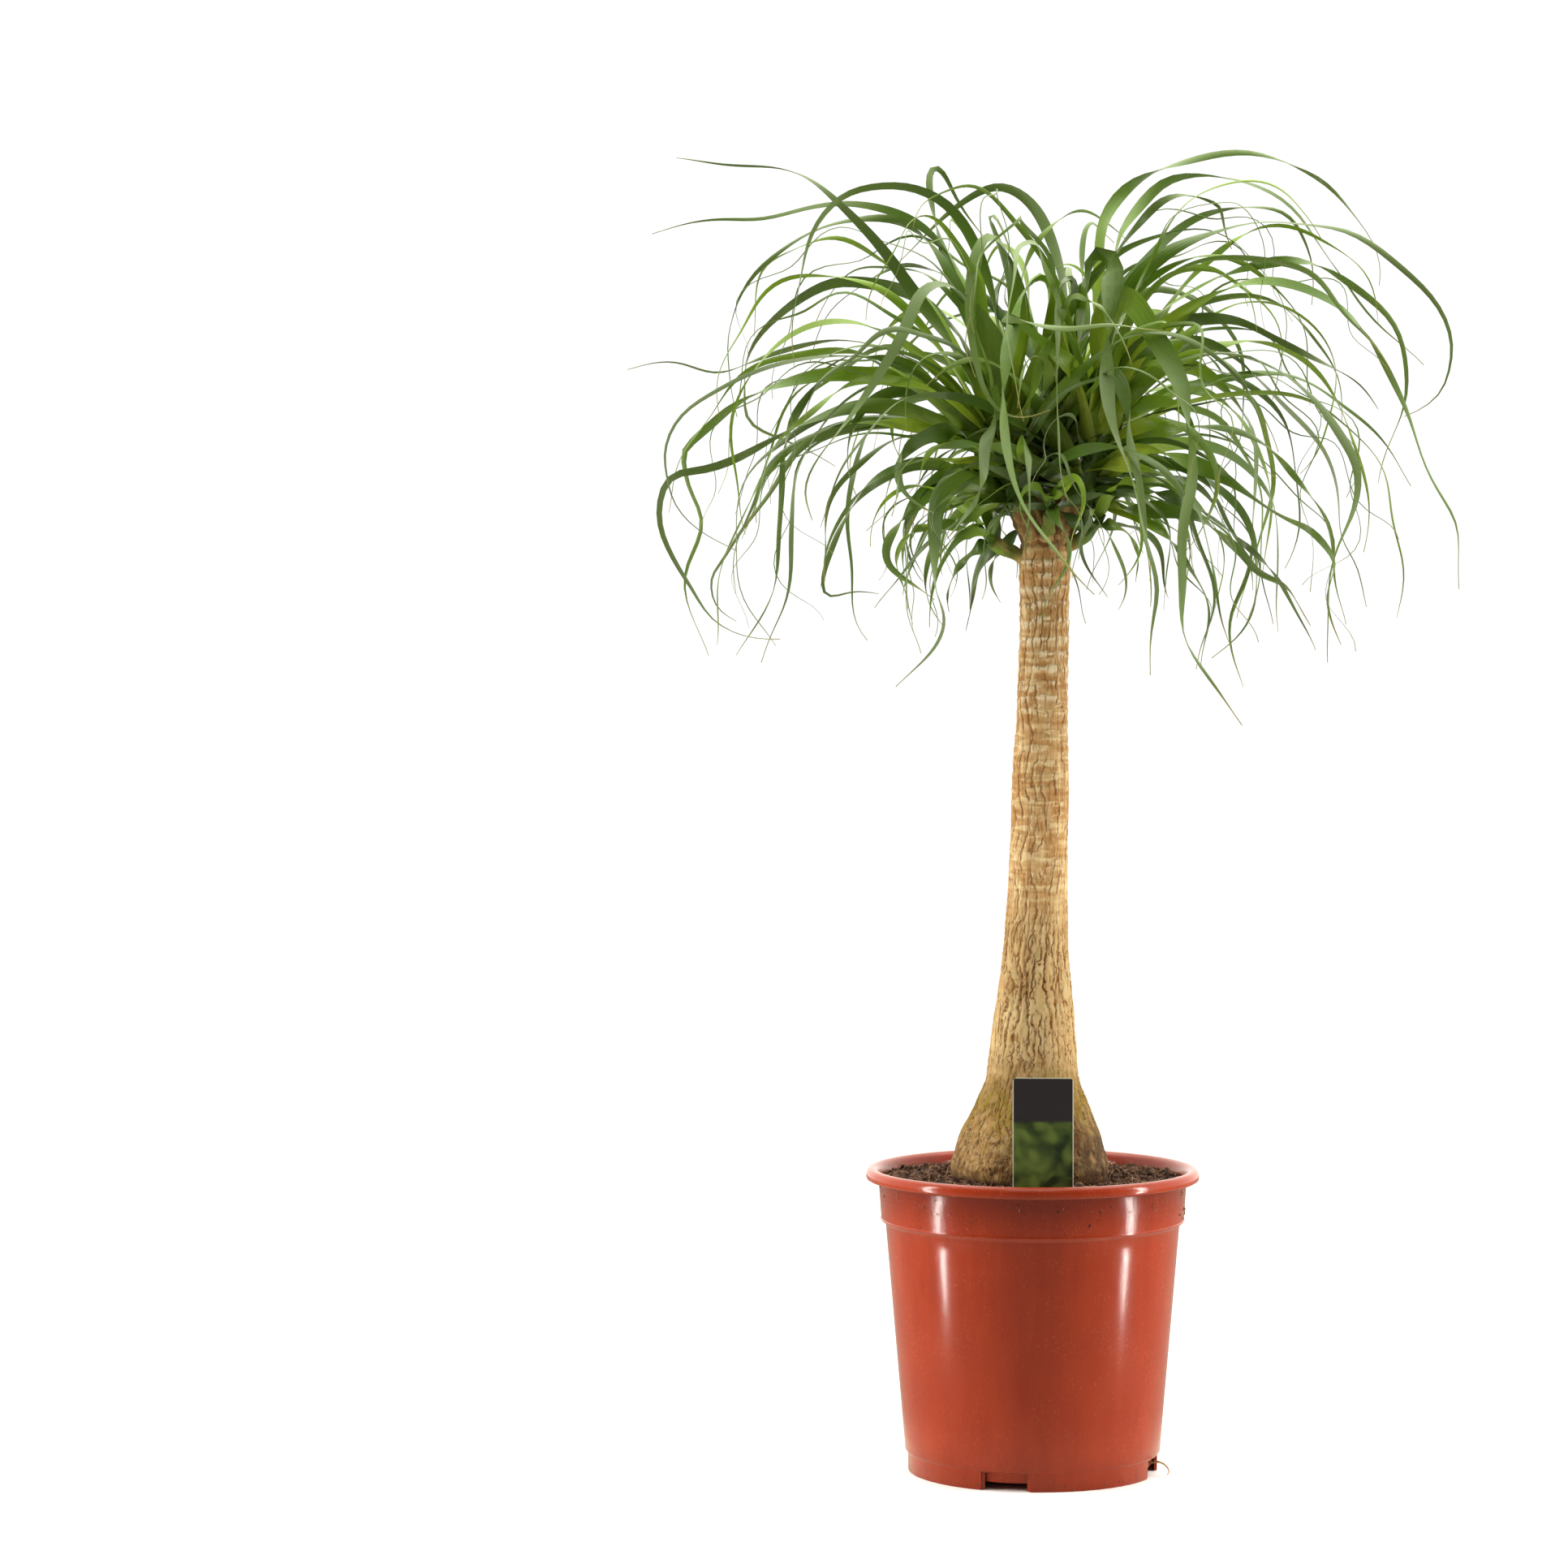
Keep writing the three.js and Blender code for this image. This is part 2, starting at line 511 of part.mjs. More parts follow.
// Dense points of the uniform cubic B-spline that starts at the first bend and ends at the last.
function splinePoints(bends) {
  const PER_SPAN = 12;
  const last = bends.length - 1;
  const before = bends[0].clone().multiplyScalar(2).sub(bends[1]);
  const after = bends[last].clone().multiplyScalar(2).sub(bends[last - 1]);
  const control = [before, ...bends, after];
  const points = [];
  for (let span = 0; span <= last; span += 1) {
    const steps = span === last ? 1 : PER_SPAN;
    for (let j = 0; j < steps; j += 1) {
      const u = j / PER_SPAN;
      const weights = [(1 - u) ** 3, 3 * u ** 3 - 6 * u * u + 4, -3 * u ** 3 + 3 * u * u + 3 * u + 1, u ** 3];
      const point = new THREE.Vector3();
      weights.forEach((weight, i) => {
        if (span + i < control.length) point.addScaledVector(control[span + i], weight / 6);
      });
      points.push(point);
    }
  }
  return points;
}

// The same line with its points spaced evenly, in the given number of steps.
function evenly(points, steps) {
  const rows = [[0, 0]];
  for (let i = 1; i < points.length; i += 1) {
    rows.push([rows[i - 1][0] + points[i].distanceTo(points[i - 1]), i]);
  }
  const total = rows[rows.length - 1][0];
  return Array.from({ length: steps + 1 }, (_, k) => {
    const place = readTable(rows, (total * k) / steps);
    const i = Math.min(points.length - 2, Math.floor(place));
    return points[i].clone().lerp(points[i + 1], place - i);
  });
}

// Half the blade's width at a fraction u of its length: full near the root, then a long taper.
function halfWidth(u, width) {
  return (width / 2) * Math.min(1, 0.8 + 1.2 * u) * (1 - u ** 1.5) ** 0.9;
}

// A closed three-sided blade, two edges and a keel under them, drawn to a point. The faces are
// split along the diagonal that bulges outwards for the way the blade twists there.
function bladeSolid({ points, across, width }, stations) {
  const rings = stations.length - 1;
  const corners = [];
  for (let ring = 0; ring < rings; ring += 1) {
    const i = stations[ring];
    const u = i / LEAF.steps;
    const under = headingAt(points, i).cross(across[i]).normalize();
    const half = halfWidth(u, width);
    const keel = LEAF.keelAtRoot + (LEAF.keelAtTip - LEAF.keelAtRoot) * u;
    const upper = points[i].clone().addScaledVector(under, -LEAF.edge);
    corners.push(upper.clone().addScaledVector(across[i], -half));
    corners.push(upper.clone().addScaledVector(across[i], half));
    corners.push(points[i].clone().addScaledVector(under, keel - LEAF.edge));
  }
  corners.push(points[LEAF.steps]);
  const faces = [0, 2, 1];
  for (let ring = 0; ring + 1 < rings; ring += 1) {
    const i = stations[ring];
    const next = across[stations[ring + 1]];
    const twist = across[i].clone().cross(next).dot(headingAt(points, i));
    for (let edge = 0; edge < 3; edge += 1) {
      const a = ring * 3 + edge;
      const b = ring * 3 + ((edge + 1) % 3);
      faces.push(...(twist > 0 ? [a, b, a + 3, b, b + 3, a + 3] : [a, b, b + 3, a, b + 3, a + 3]));
    }
  }
  const tip = rings * 3;
  for (let edge = 0; edge < 3; edge += 1) {
    faces.push(tip - 3 + edge, tip - 3 + ((edge + 1) % 3), tip);
  }
  const geometry = new THREE.BufferGeometry().setFromPoints(corners);
  geometry.setIndex(faces);
  return toSolid(geometry);
}

// The head's core, a slim spindle of tight young leaf bases that the leaves stand out of.
function coreSolid(head) {
  const { core, radius } = head;
  const outline = [
    [0, -9], [radius * 0.75, -9], [radius, 4], [radius * 0.8, core * 0.4], [radius * 0.45, core * 0.8],
    [0, core + 6],
  ];
  const axis = new THREE.Vector3(...head.axis).normalize();
  const geometry = turned(outline, LEAF.coreSides);
  geometry.applyQuaternion(new THREE.Quaternion().setFromUnitVectors(UP, axis));
  return toSolid(geometry.translate(...head.base));
}

function crownSolid() {
  const laidDraw = new Draw(LAID_SEED);
  const pieces = LAID_LEAVES.map((row) => bladeSolid(laidLeaf(row, laidDraw), LEAF.laidStations));
  for (const head of Object.values(HEADS)) {
    const draw = new Draw(head.seed);
    pieces.push(coreSolid(head));
    for (let k = 0; k < head.count; k += 1) {
      pieces.push(bladeSolid(grownLeaf(head, k, draw), head.stations));
    }
  }
  const fused = wasm.Manifold.union(pieces).subtract(wholeTrunk(GAP));
  const bodies = fused.asOriginal().simplify(LEAF.fuseTolerance).decompose();
  return bodies.sort((a, b) => b.volume() - a.volume())[0];
}

// ---- Label -------------------------------------------------------------------------------------

function labelSolid(extra) {
  const half = LABEL.width / 2 + extra;
  const tipHalf = LABEL.spikeTipWidth / 2 + extra;
  const round = LABEL.cornerRadius;
  const outline = new THREE.Shape();
  outline.moveTo(-tipHalf, LABEL.spikeTip - extra);
  outline.lineTo(tipHalf, LABEL.spikeTip - extra);
  outline.lineTo(half, LABEL.shoulder);
  outline.lineTo(half, LABEL.top - round);
  outline.absarc(half - round, LABEL.top - round, round, 0, Math.PI / 2);
  outline.absarc(-half + round, LABEL.top - round, round, Math.PI / 2, Math.PI);
  outline.lineTo(-half, LABEL.shoulder);
  outline.closePath();
  const depth = LABEL.thickness + 2 * extra;
  const geometry = new THREE.ExtrudeGeometry(outline, { depth, bevelEnabled: false, curveSegments: 4 });
  geometry.translate(0, -SOIL.top, -depth / 2).rotateX(Math.PI / 2 - radians(LABEL.tilt));
  return toSolid(geometry.translate(LABEL.centreX, LABEL.y, SOIL.top));
}

// ---- Soil --------------------------------------------------------------------------------------

// Fills the pot inside its wall. The top is lumpy and dips a little towards the trunk.
function soilSolid() {
  const p = POT;
  const inner = (radius) => radius - p.wall - GAP;
  const floor = p.plateUnderside + p.plateThickness + GAP;
  const outline = [
    [0, floor], [inner(p.plateRadius), floor], [inner(p.plateRadius), p.ledgeHeight + 2 + GAP],
    [inner(p.wallFootRadius) - 1.4, p.ledgeHeight + 2 + GAP], [inner(p.wallFootRadius), p.skirtHeight + 2.6],
    [inner(p.wallTopRadius), p.stepHeight - 1.8], [inner(p.collarFootRadius), p.stepHeight + 2.2],
    [inner(p.collarFootRadius) + 1.6, SOIL.top - 4], [115, SOIL.top], [106, SOIL.top], [96, SOIL.top],
    [86, SOIL.top], [75, SOIL.top], [58, SOIL.top], [0, SOIL.top],
  ];
  const geometry = turned(outline, ROUND_SIDES);
  const position = geometry.attributes.position;
  for (let i = 0; i < position.count; i += 1) {
    const [x, y, z] = [position.getX(i), position.getY(i), position.getZ(i)];
    if (z < SOIL.top - 0.01) continue;
    const radius = Math.hypot(x, y);
    const waves = Math.sin(x * 0.17 + 1.3) * Math.sin(y * 0.19 + 0.4) + 0.7 * Math.sin(x * 0.41 + y * 0.33);
    const dip = SOIL.trunkHollow * clamp((80 - radius) / 30, 0, 1);
    position.setZ(i, z + SOIL.lump * waves - dip);
  }
  return toSolid(geometry).subtract(trunkSolid(GAP)).subtract(labelSolid(GAP));
}

// ---- Assembly ----------------------------------------------------------------------------------

const plant = new THREE.Group();
plant.add(toMesh('pot', potSolid(), FINISH.pot));
plant.add(toMesh('soil', soilSolid(), FINISH.soil));
plant.add(toMesh('trunk', wholeTrunk(0), FINISH.trunk));
plant.add(toMesh('crown', crownSolid(), FINISH.leaf));
plant.add(toMesh('label', labelSolid(0), FINISH.card));

// The crown reaches further to one side, so the whole is moved to stand over the origin by its box.
const box = new THREE.Box3().setFromObject(plant);
const middle = box.getCenter(new THREE.Vector3());
plant.position.set(-middle.x, -middle.y, 0);
plant.updateMatrixWorld(true);

export default plant;
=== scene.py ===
"""A ponytail palm in its nursery pot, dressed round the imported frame.

Sizes are millimetres about the pot's own axis, with +Z up and the viewer's side at -Y, as in the
part's source. placed() turns them into metres in the frame.
"""

import functools
import itertools
import logging
import math
from collections.abc import Callable, Iterable, Sequence
from dataclasses import dataclass, field, replace
from enum import Enum

import bmesh
import bpy
import numpy as np
from mathutils import Matrix, Vector


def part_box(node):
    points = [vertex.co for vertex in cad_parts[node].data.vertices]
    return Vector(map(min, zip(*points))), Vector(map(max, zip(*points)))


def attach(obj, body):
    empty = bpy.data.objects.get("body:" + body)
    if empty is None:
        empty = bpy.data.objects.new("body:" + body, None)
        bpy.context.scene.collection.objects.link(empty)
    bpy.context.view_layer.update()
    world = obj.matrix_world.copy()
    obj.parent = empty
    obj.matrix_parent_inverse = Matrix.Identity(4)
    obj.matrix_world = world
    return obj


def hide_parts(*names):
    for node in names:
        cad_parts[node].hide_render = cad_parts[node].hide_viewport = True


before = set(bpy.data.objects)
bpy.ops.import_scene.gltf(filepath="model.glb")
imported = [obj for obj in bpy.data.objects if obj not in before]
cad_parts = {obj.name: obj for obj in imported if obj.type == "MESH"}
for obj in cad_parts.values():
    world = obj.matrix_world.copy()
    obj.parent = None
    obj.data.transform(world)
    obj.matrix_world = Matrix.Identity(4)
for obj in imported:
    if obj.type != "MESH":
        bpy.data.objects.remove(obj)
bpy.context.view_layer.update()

MM = 0.001
TURN = 2 * math.pi
BODY = "root"
LOG = logging.getLogger("palm")

Pair = tuple[float, float]
Triple = tuple[float, float, float]
Colour = tuple[float, float, float, float]
Rows = Sequence[Pair]


# ---- Places, tables and noise ----


def pot_axis() -> Vector:
    """Where the pot's own axis stands in the frame, in metres."""
    low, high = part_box("pot")
    return Vector(((low.x + high.x) / 2, (low.y + high.y) / 2, 0.0))


AXIS = pot_axis()
TO_FRAME = Matrix.Translation(AXIS) @ Matrix.Diagonal((MM, MM, MM, 1))


def placed(points: np.ndarray) -> np.ndarray:
    """Millimetres about the pot's axis as metres in the frame."""
    return np.asarray(points, float) * MM + np.array(AXIS)


def srgb(*screen: float) -> Colour:
    """A colour given as screen values from 0 to 255, as the linear values that shaders take.

    Args:
        *screen: red, green and blue.

    Returns:
        The colour, opaque.
    """
    parts = [value / 255 for value in screen]
    linear = [v / 12.92 if v <= 0.04045 else ((v + 0.055) / 1.055) ** 2.4 for v in parts]
    return (*linear, 1.0)


def around(count: int) -> np.ndarray:
    """The angles of this many points spread evenly round a circle."""
    return np.arange(count) * TURN / count


def smooth(low: float, high: float, value: np.ndarray) -> np.ndarray:
    """0 at low, 1 at high and an eased step between them; low may be the larger one."""
    t = np.clip((value - low) / (high - low), 0.0, 1.0)
    return t * t * (3 - 2 * t)


def read_smooth(rows: Rows, places: np.ndarray) -> np.ndarray:
    """Reading of a table of (place, value) rows by a curve with no corners.

    Args:
        rows: the table, in rising order of place.
        places: where to read it.

    Returns:
        The value at each place, held level past the table's ends.
    """
    at, value = np.array(rows, float).T
    slope = np.gradient(value, at)
    i = np.clip(np.searchsorted(at, places) - 1, 0, len(at) - 2)
    span = at[i + 1] - at[i]
    t = np.clip((places - at[i]) / span, 0.0, 1.0)
    from_start = (1 + 2 * t) * (1 - t) ** 2 * value[i] + t * (1 - t) ** 2 * span * slope[i]
    to_end = t * t * (3 - 2 * t) * value[i + 1] + t * t * (t - 1) * span * slope[i + 1]
    return from_start + to_end


def grain(points: np.ndarray, seed: int) -> np.ndarray:
    """Smooth noise from -1 to 1, with about one bump in each unit of length.

    Args:
        points: the places to read it at, three numbers each in the last axis.
        seed: another seed gives other bumps.

    Returns:
        One value for each place, from a hash of the corners of the cell that it lies in.
    """
    primes, mask = (73856093, 19349663, 83492791), 0xFFFFFFFF
    cell = np.floor(points).astype(np.int64)
    t = points - cell
    t = t * t * t * (t * (t * 6 - 15) + 10)
    total = np.zeros(points.shape[:-1])
    for corner in itertools.product((0, 1), repeat=3):
        mixed = np.bitwise_xor.reduce((cell + corner) * primes, axis=-1)
        mixed = (mixed ^ (seed * 40503 + 977)) & mask
        for shift, factor in ((15, 2246822519), (13, 3266489917)):
            mixed = ((mixed ^ (mixed >> shift)) * factor) & mask
        value = ((mixed ^ (mixed >> 16)) & 0xFFFF) / 32767.5 - 1
        total += value * np.prod(np.where(corner, t, 1 - t), axis=-1)
    return total


@dataclass
class Draw:
    """A repeatable sequence of numbers between 0 and 1, the same as in the part's source."""

    state: int

    def next(self) -> float:
        """The next number of the sequence."""
        self.state = (self.state * 1664525 + 1013904223) % 2**32
        return self.state / 2**32

    def between(self, low: float, high: float) -> float:
        """The next number, spread over a range."""
        return low + (high - low) * self.next()

    def angle(self) -> float:
        """The next number, spread over a whole turn."""
        return self.between(0, TURN)

    def sign(self) -> int:
        """1 or -1, by the next number."""
        return 1 if self.next() < 0.5 else -1


# ---- Nodes ----


def maths(operation: str, flipped: bool = False) -> Callable[..., "Wire"]:
    """Makes a method of Wire that adds one Math node, or a Vector Math node for a vector.

    Args:
        operation: the node's operation.
        flipped: whether the wire comes after the other term, as in a reflected operator.

    Returns:
        The method.
    """

    def method(self: "Wire", *others: "Term") -> "Wire":
        """The wire and the other terms, joined by the operation.

        Args:
            *others: the other terms.

        Returns:
            The result.
        """
        terms = (*others, self) if flipped else (self, *others)
        kinds = {t.socket.type for t in terms if isinstance(t, Wire)}
        if "RGBA" in kinds:
            raise TypeError("colours are mixed, and not added or multiplied")
        kind = "ShaderNodeVectorMath" if "VECTOR" in kinds else "ShaderNodeMath"
        if "VECTOR" in kinds:
            terms = [(t,) * 3 if isinstance(t, (int, float)) else t for t in terms]
        return self.web.node(kind, {"operation": operation}, dict(enumerate(terms)))

    return method


@dataclass
class Wire:
    """A node's output. Python's operators on it add Math nodes, or Vector Math on a vector."""

    web: "Web"
    socket: bpy.types.NodeSocket

    __add__ = maths("ADD")
    __radd__ = maths("ADD", flipped=True)
    __sub__ = maths("SUBTRACT")
    __rsub__ = maths("SUBTRACT", flipped=True)
    __mul__ = maths("MULTIPLY")
    __rmul__ = maths("MULTIPLY", flipped=True)
    at_least = maths("MAXIMUM")
    size = maths("ABSOLUTE")
    sine = maths("SINE")
    length = maths("LENGTH")

    def other(self, name: str) -> "Wire":
        """Another output of the same node."""
        outputs = self.socket.node.outputs
        return Wire(self.web, next(s for s in outputs if s.name == name and s.enabled))

    def vector(self) -> "Wire":
        """The colour output of the same node, read as a vector."""
        sockets = {0: self.other("Color"), 1: (0, 0, 0)}
        return self.web.node("ShaderNodeVectorMath", {"operation": "ADD"}, sockets)

    def step(self, low: float, high: float) -> "Wire":
        """0 at low, 1 at high and an eased step between; low may be the larger one."""
        sockets = {"Value": self, "From Min": low, "From Max": high}
        return self.web.node("ShaderNodeMapRange", {"interpolation_type": "SMOOTHSTEP"}, sockets)


Term = Wire | float | int | tuple


@dataclass
class Web:
    """A node tree, filled by one method that takes a node's type, settings and sockets."""

    tree: bpy.types.NodeTree

    def node(
        self,
        kind: str,
        settings: dict[str, object] | None = None,
        sockets: dict[str | int, object] | None = None,
    ) -> Wire:
        """Adds a node.

        Args:
            kind: the node's type.
            settings: its properties, set first.
            sockets: values or wires by the input's name or number.

        Returns:
            Its first live output, or a wire on its first input where it has no output.
        """
        made = self.tree.nodes.new(kind)
        for name, value in (settings or {}).items():
            setattr(made, name, value)
        for key, value in (sockets or {}).items():
            by_name = (s for s in made.inputs if s.name == key and s.enabled)
            target = made.inputs[key] if isinstance(key, int) else next(by_name)
            if isinstance(value, Wire):
                self.tree.links.new(value.socket, target)
            else:
                target.default_value = value
        live = [s for s in made.outputs if s.enabled]
        return Wire(self, live[0] if live else made.inputs[0])

    def mix(self, factor: Term, first: object, second: object) -> Wire:
        """A colour between two."""
        sockets = {"Factor": factor, "A": first, "B": second}
        return self.node("ShaderNodeMix", {"data_type": "RGBA"}, sockets)

    def layers(self, base: object, *coats: tuple[Term, object]) -> Wire:
        """A colour with others laid on it in turn, each given as (how well it covers, colour)."""
        return functools.reduce(lambda below, coat: self.mix(coat[0], below, coat[1]), coats, base)

    def noise(
        self, at: Wire, size: float, detail: float = 2.0, seed: float = 0.0, squash: Term = 1
    ) -> Wire:
        """Noise from 0 to 1.

        Args:
            at: where it is read.
            size: about how wide its bumps are, in the units of at.
            detail: how many finer layers it has.
            seed: another seed gives other bumps.
            squash: what the place is multiplied by first; a number is for its height alone.

        Returns:
            The noise.
        """
        if squash != 1:
            at = at * (squash if isinstance(squash, tuple) else (1, 1, squash))
        sockets = {"Vector": at, "W": seed, "Scale": 1 / size, "Detail": detail}
        return self.node("ShaderNodeTexNoise", {"noise_dimensions": "4D"}, sockets)

    def cells(self, at: Wire, size: float, feature: str = "F1") -> Wire:
        """Distances in a pattern of cells of this size, in cell widths."""
        sockets = {"Vector": at, "Scale": 1 / size}
        return self.node("ShaderNodeTexVoronoi", {"feature": feature}, sockets)

    def parts(self, vector: Wire) -> tuple[Wire, Wire, Wire]:
        """The x, y and z of a vector."""
        x = self.node("ShaderNodeSeparateXYZ", {}, {0: vector})
        return x, x.other("Y"), x.other("Z")


class Surface(Web):
    """A material's tree."""

    def __init__(self, name: str) -> None:
        """Makes an empty material.

        Args:
            name: its name.
        """
        self.material = bpy.data.materials.new(name)
        self.material.use_nodes = True
        self.material.node_tree.nodes.clear()
        super().__init__(self.material.node_tree)

    def place(self) -> Wire:
        """Where a point of the piece is, in millimetres about the pot's axis."""
        at = self.node("ShaderNodeTexCoord").other("Object")
        return (at - tuple(AXIS)) * (1 / MM)

    def read(self, name: str) -> Wire:
        """A number that the mesh carries at its points."""
        return self.node("ShaderNodeAttribute", {"attribute_name": name}).other("Fac")

    def bump(self, height: Wire, depth: float) -> Wire:
        """A normal from a height between 0 and 1 that stands for this many millimetres."""
        return self.node("ShaderNodeBump", {}, {"Distance": depth * MM, "Height": height})

    def shade(self, colour: Wire, roughness: Term, **sockets: object) -> bpy.types.Material:
        """Ends the tree in a Principled shader.

        Args:
            colour: its base colour.
            roughness: its roughness.
            **sockets: its other inputs, with _ for each space of their names.

        Returns:
            The material.
        """
        named = {name.replace("_", " "): value for name, value in sockets.items()}
        inputs = {"Base Color": colour, "Roughness": roughness, **named}
        shader = self.node("ShaderNodeBsdfPrincipled", {}, inputs)
        self.node("ShaderNodeOutputMaterial", {}, {"Surface": shader})
        return self.material


class Growth(Web):
    """A Geometry Nodes tree with named inputs, run once and turned into a plain mesh."""

    SOCKETS = {
        float: "NodeSocketFloat",
        int: "NodeSocketInt",
        bpy.types.Material: "NodeSocketMaterial",
    }

    def __init__(self, name: str, material: bpy.types.Material, **sizes: float) -> None:
        """Makes the tree's inputs.

        Args:
            name: the tree's name.
            material: the finish of everything that it makes.
            **sizes: the named inputs and their values.
        """
        super().__init__(bpy.data.node_groups.new(name, "GeometryNodeTree"))
        self.values: dict[str, object] = {**sizes, "finish": material}
        face = self.tree.interface
        face.new_socket("Geometry", in_out="INPUT", socket_type="NodeSocketGeometry")
        for key, value in self.values.items():
            kind = next(k for t, k in self.SOCKETS.items() if isinstance(value, t))
            face.new_socket(key, in_out="INPUT", socket_type=kind)
        face.new_socket("Geometry", in_out="OUTPUT", socket_type="NodeSocketGeometry")
        self.source = self.node("NodeGroupInput")

    def make(self, kind: str, sockets: dict[str | int, object] | None = None) -> Wire:
        """Adds a geometry node, named without its GeometryNode, that needs no settings."""
        return self.node("GeometryNode" + kind, {}, sockets)

    def given(self, name: str) -> Wire:
        """One of the tree's named inputs."""
        return self.source.other(name)

    def named(self, name: str, kind: str = "FLOAT") -> Wire:
        """A number or vector that the guide mesh carries at its points."""
        settings = {"data_type": kind}
        return self.node("GeometryNodeInputNamedAttribute", settings, {"Name": name})

    def store(self, geometry: Wire, name: str, value: Term, kind: str = "FLOAT") -> Wire:
        """The geometry with a number or vector written at its points.

        Args:
            geometry: the geometry.
            name: what the number or vector is called.
            value: its value at each point.
            kind: FLOAT or FLOAT_VECTOR.

        Returns:
            The geometry.
        """
        settings = {"data_type": kind, "domain": "POINT"}
        sockets = {"Geometry": geometry, "Name": name, "Value": value}
        return self.node("GeometryNodeStoreNamedAttribute", settings, sockets)

    def random(self, low: Term, high: Term, seed: int) -> Wire:
        """A number, or a vector between two vectors, drawn for each point.

        Args:
            low: the lowest that it can be.
            high: the highest.
            seed: another seed draws others.

        Returns:
            What is drawn.
        """
        settings = {"data_type": "FLOAT_VECTOR" if isinstance(low, tuple) else "FLOAT"}
        sockets = {"Min": low, "Max": high, "Seed": seed}
        return self.node("FunctionNodeRandomValue", settings, sockets)

    def run(self, guide: bpy.types.Object, name: str, geometry: Wire) -> bpy.types.Object:
        """Ends the tree and turns what it makes into a piece.

        Args:
            guide: the object that the tree works on; it is deleted afterwards.
            name: the new piece's name.
            geometry: the last node's geometry.

        Returns:
            The new object, with a plain mesh and no modifier.
        """
        solid = self.make("RealizeInstances", {"Geometry": geometry})
        dressed = self.make("SetMaterial", {"Geometry": solid, "Material": self.given("finish")})
        self.node("NodeGroupOutput", {}, {0: dressed})
        modifier = guide.modifiers.new(name, "NODES")
        modifier.node_group = self.tree
        for item in self.tree.interface.items_tree:
            if item.in_out == "INPUT" and item.name in self.values:
                modifier[item.identifier] = self.values[item.name]
        return baked(guide, name)


# ---- Meshes ----


def shown(mesh: bpy.types.Mesh, name: str) -> bpy.types.Object:
    """An object for a mesh, in the scene.

    Args:
        mesh: the mesh.
        name: the object's name.

    Returns:
        The object.
    """
    piece = bpy.data.objects.new(name, mesh)
    bpy.context.scene.collection.objects.link(piece)
    piece.name = name
    return piece


def baked(source: bpy.types.Object, name: str) -> bpy.types.Object:
    """Puts the mesh that an object's modifiers make in that object's place.

    Args:
        source: the object, which is deleted.
        name: the new object's name.

    Returns:
        The new object, with no modifier.
    """
    bpy.context.view_layer.update()
    ready = source.evaluated_get(bpy.context.evaluated_depsgraph_get())
    mesh = bpy.data.meshes.new_from_object(ready)
    mesh.name = name
    bpy.data.objects.remove(source)
    return shown(mesh, name)


def turned_out(mesh: bmesh.types.BMesh, name: str) -> bpy.types.Object:
    """A raw form as an object in the scene, its faces turned outwards.

    Args:
        mesh: the form, which is used up.
        name: the object's name.

    Returns:
        The object.
    """
    bmesh.ops.recalc_face_normals(mesh, faces=mesh.faces)
    made = bpy.data.meshes.new(name)
    mesh.to_mesh(made)
    mesh.free()
    return shown(made, name)


def mesh_of(
    name: str,
    points: np.ndarray,
    faces: Iterable[Sequence[int]],
    edges: Iterable[Sequence[int]] = (),
    carried: dict[str, Sequence] | None = None,
) -> bpy.types.Mesh:
    """A smooth-shaded mesh from millimetres about the pot's axis.

    Args:
        name: the mesh's name.
        points: its corners.
        faces: corner numbers of each face.
        edges: corner numbers of each loose edge.
        carried: numbers or vectors that the mesh carries at its points, by name.

    Returns:
        The mesh.
    """
    mesh = bpy.data.meshes.new(name)
    mesh.from_pydata(placed(points).tolist(), list(edges), list(faces))
    for key, values in (carried or {}).items():
        flat = np.asarray(values, np.float32)
        kind, item = ("FLOAT_VECTOR", "vector") if flat.ndim == 2 else ("FLOAT", "value")
        mesh.attributes.new(key, kind, "POINT").data.foreach_set(item, flat.ravel())
    if mesh.polygons:
        mesh.shade_smooth()
    mesh.update()
    return mesh


@dataclass
class Shape:
    """Closed tubes that are gathered into one mesh."""

    points: list[np.ndarray] = field(default_factory=list)
    faces: list[tuple[int, ...]] = field(default_factory=list)
    carried: dict[str, list[np.ndarray]] = field(default_factory=dict)
    count: int = 0

    def add_rings(self, rings: np.ndarray, **carried: np.ndarray | float) -> None:
        """Adds a closed tube.

        Args:
            rings: its points, as rows of rings, each anticlockwise seen against the way they go.
            **carried: a number for each point, or one for all.
        """
        rows, columns = rings.shape[:2]
        first, last = self.count, self.count + (rows - 1) * columns
        for row, column in itertools.product(range(rows - 1), range(columns)):
            a = first + row * columns + column
            b = first + row * columns + (column + 1) % columns
            self.faces.append((a, b, b + columns, a + columns))
        self.faces.append(tuple(range(first + columns - 1, first - 1, -1)))
        self.faces.append(tuple(range(last, last + columns)))
        self.points.append(rings.reshape(-1, 3))
        for name, value in carried.items():
            full = np.broadcast_to(value, (rows, columns)).reshape(-1)
            self.carried.setdefault(name, []).append(full)
        self.count += rows * columns

    def show(self, name: str) -> bpy.types.Object:
        """All tubes as one object in the scene.

        Args:
            name: its name.

        Returns:
            The object.
        """
        carried = {key: np.concatenate(values) for key, values in self.carried.items()}
        mesh = mesh_of(name, np.concatenate(self.points), self.faces, carried=carried)
        return shown(mesh, name)


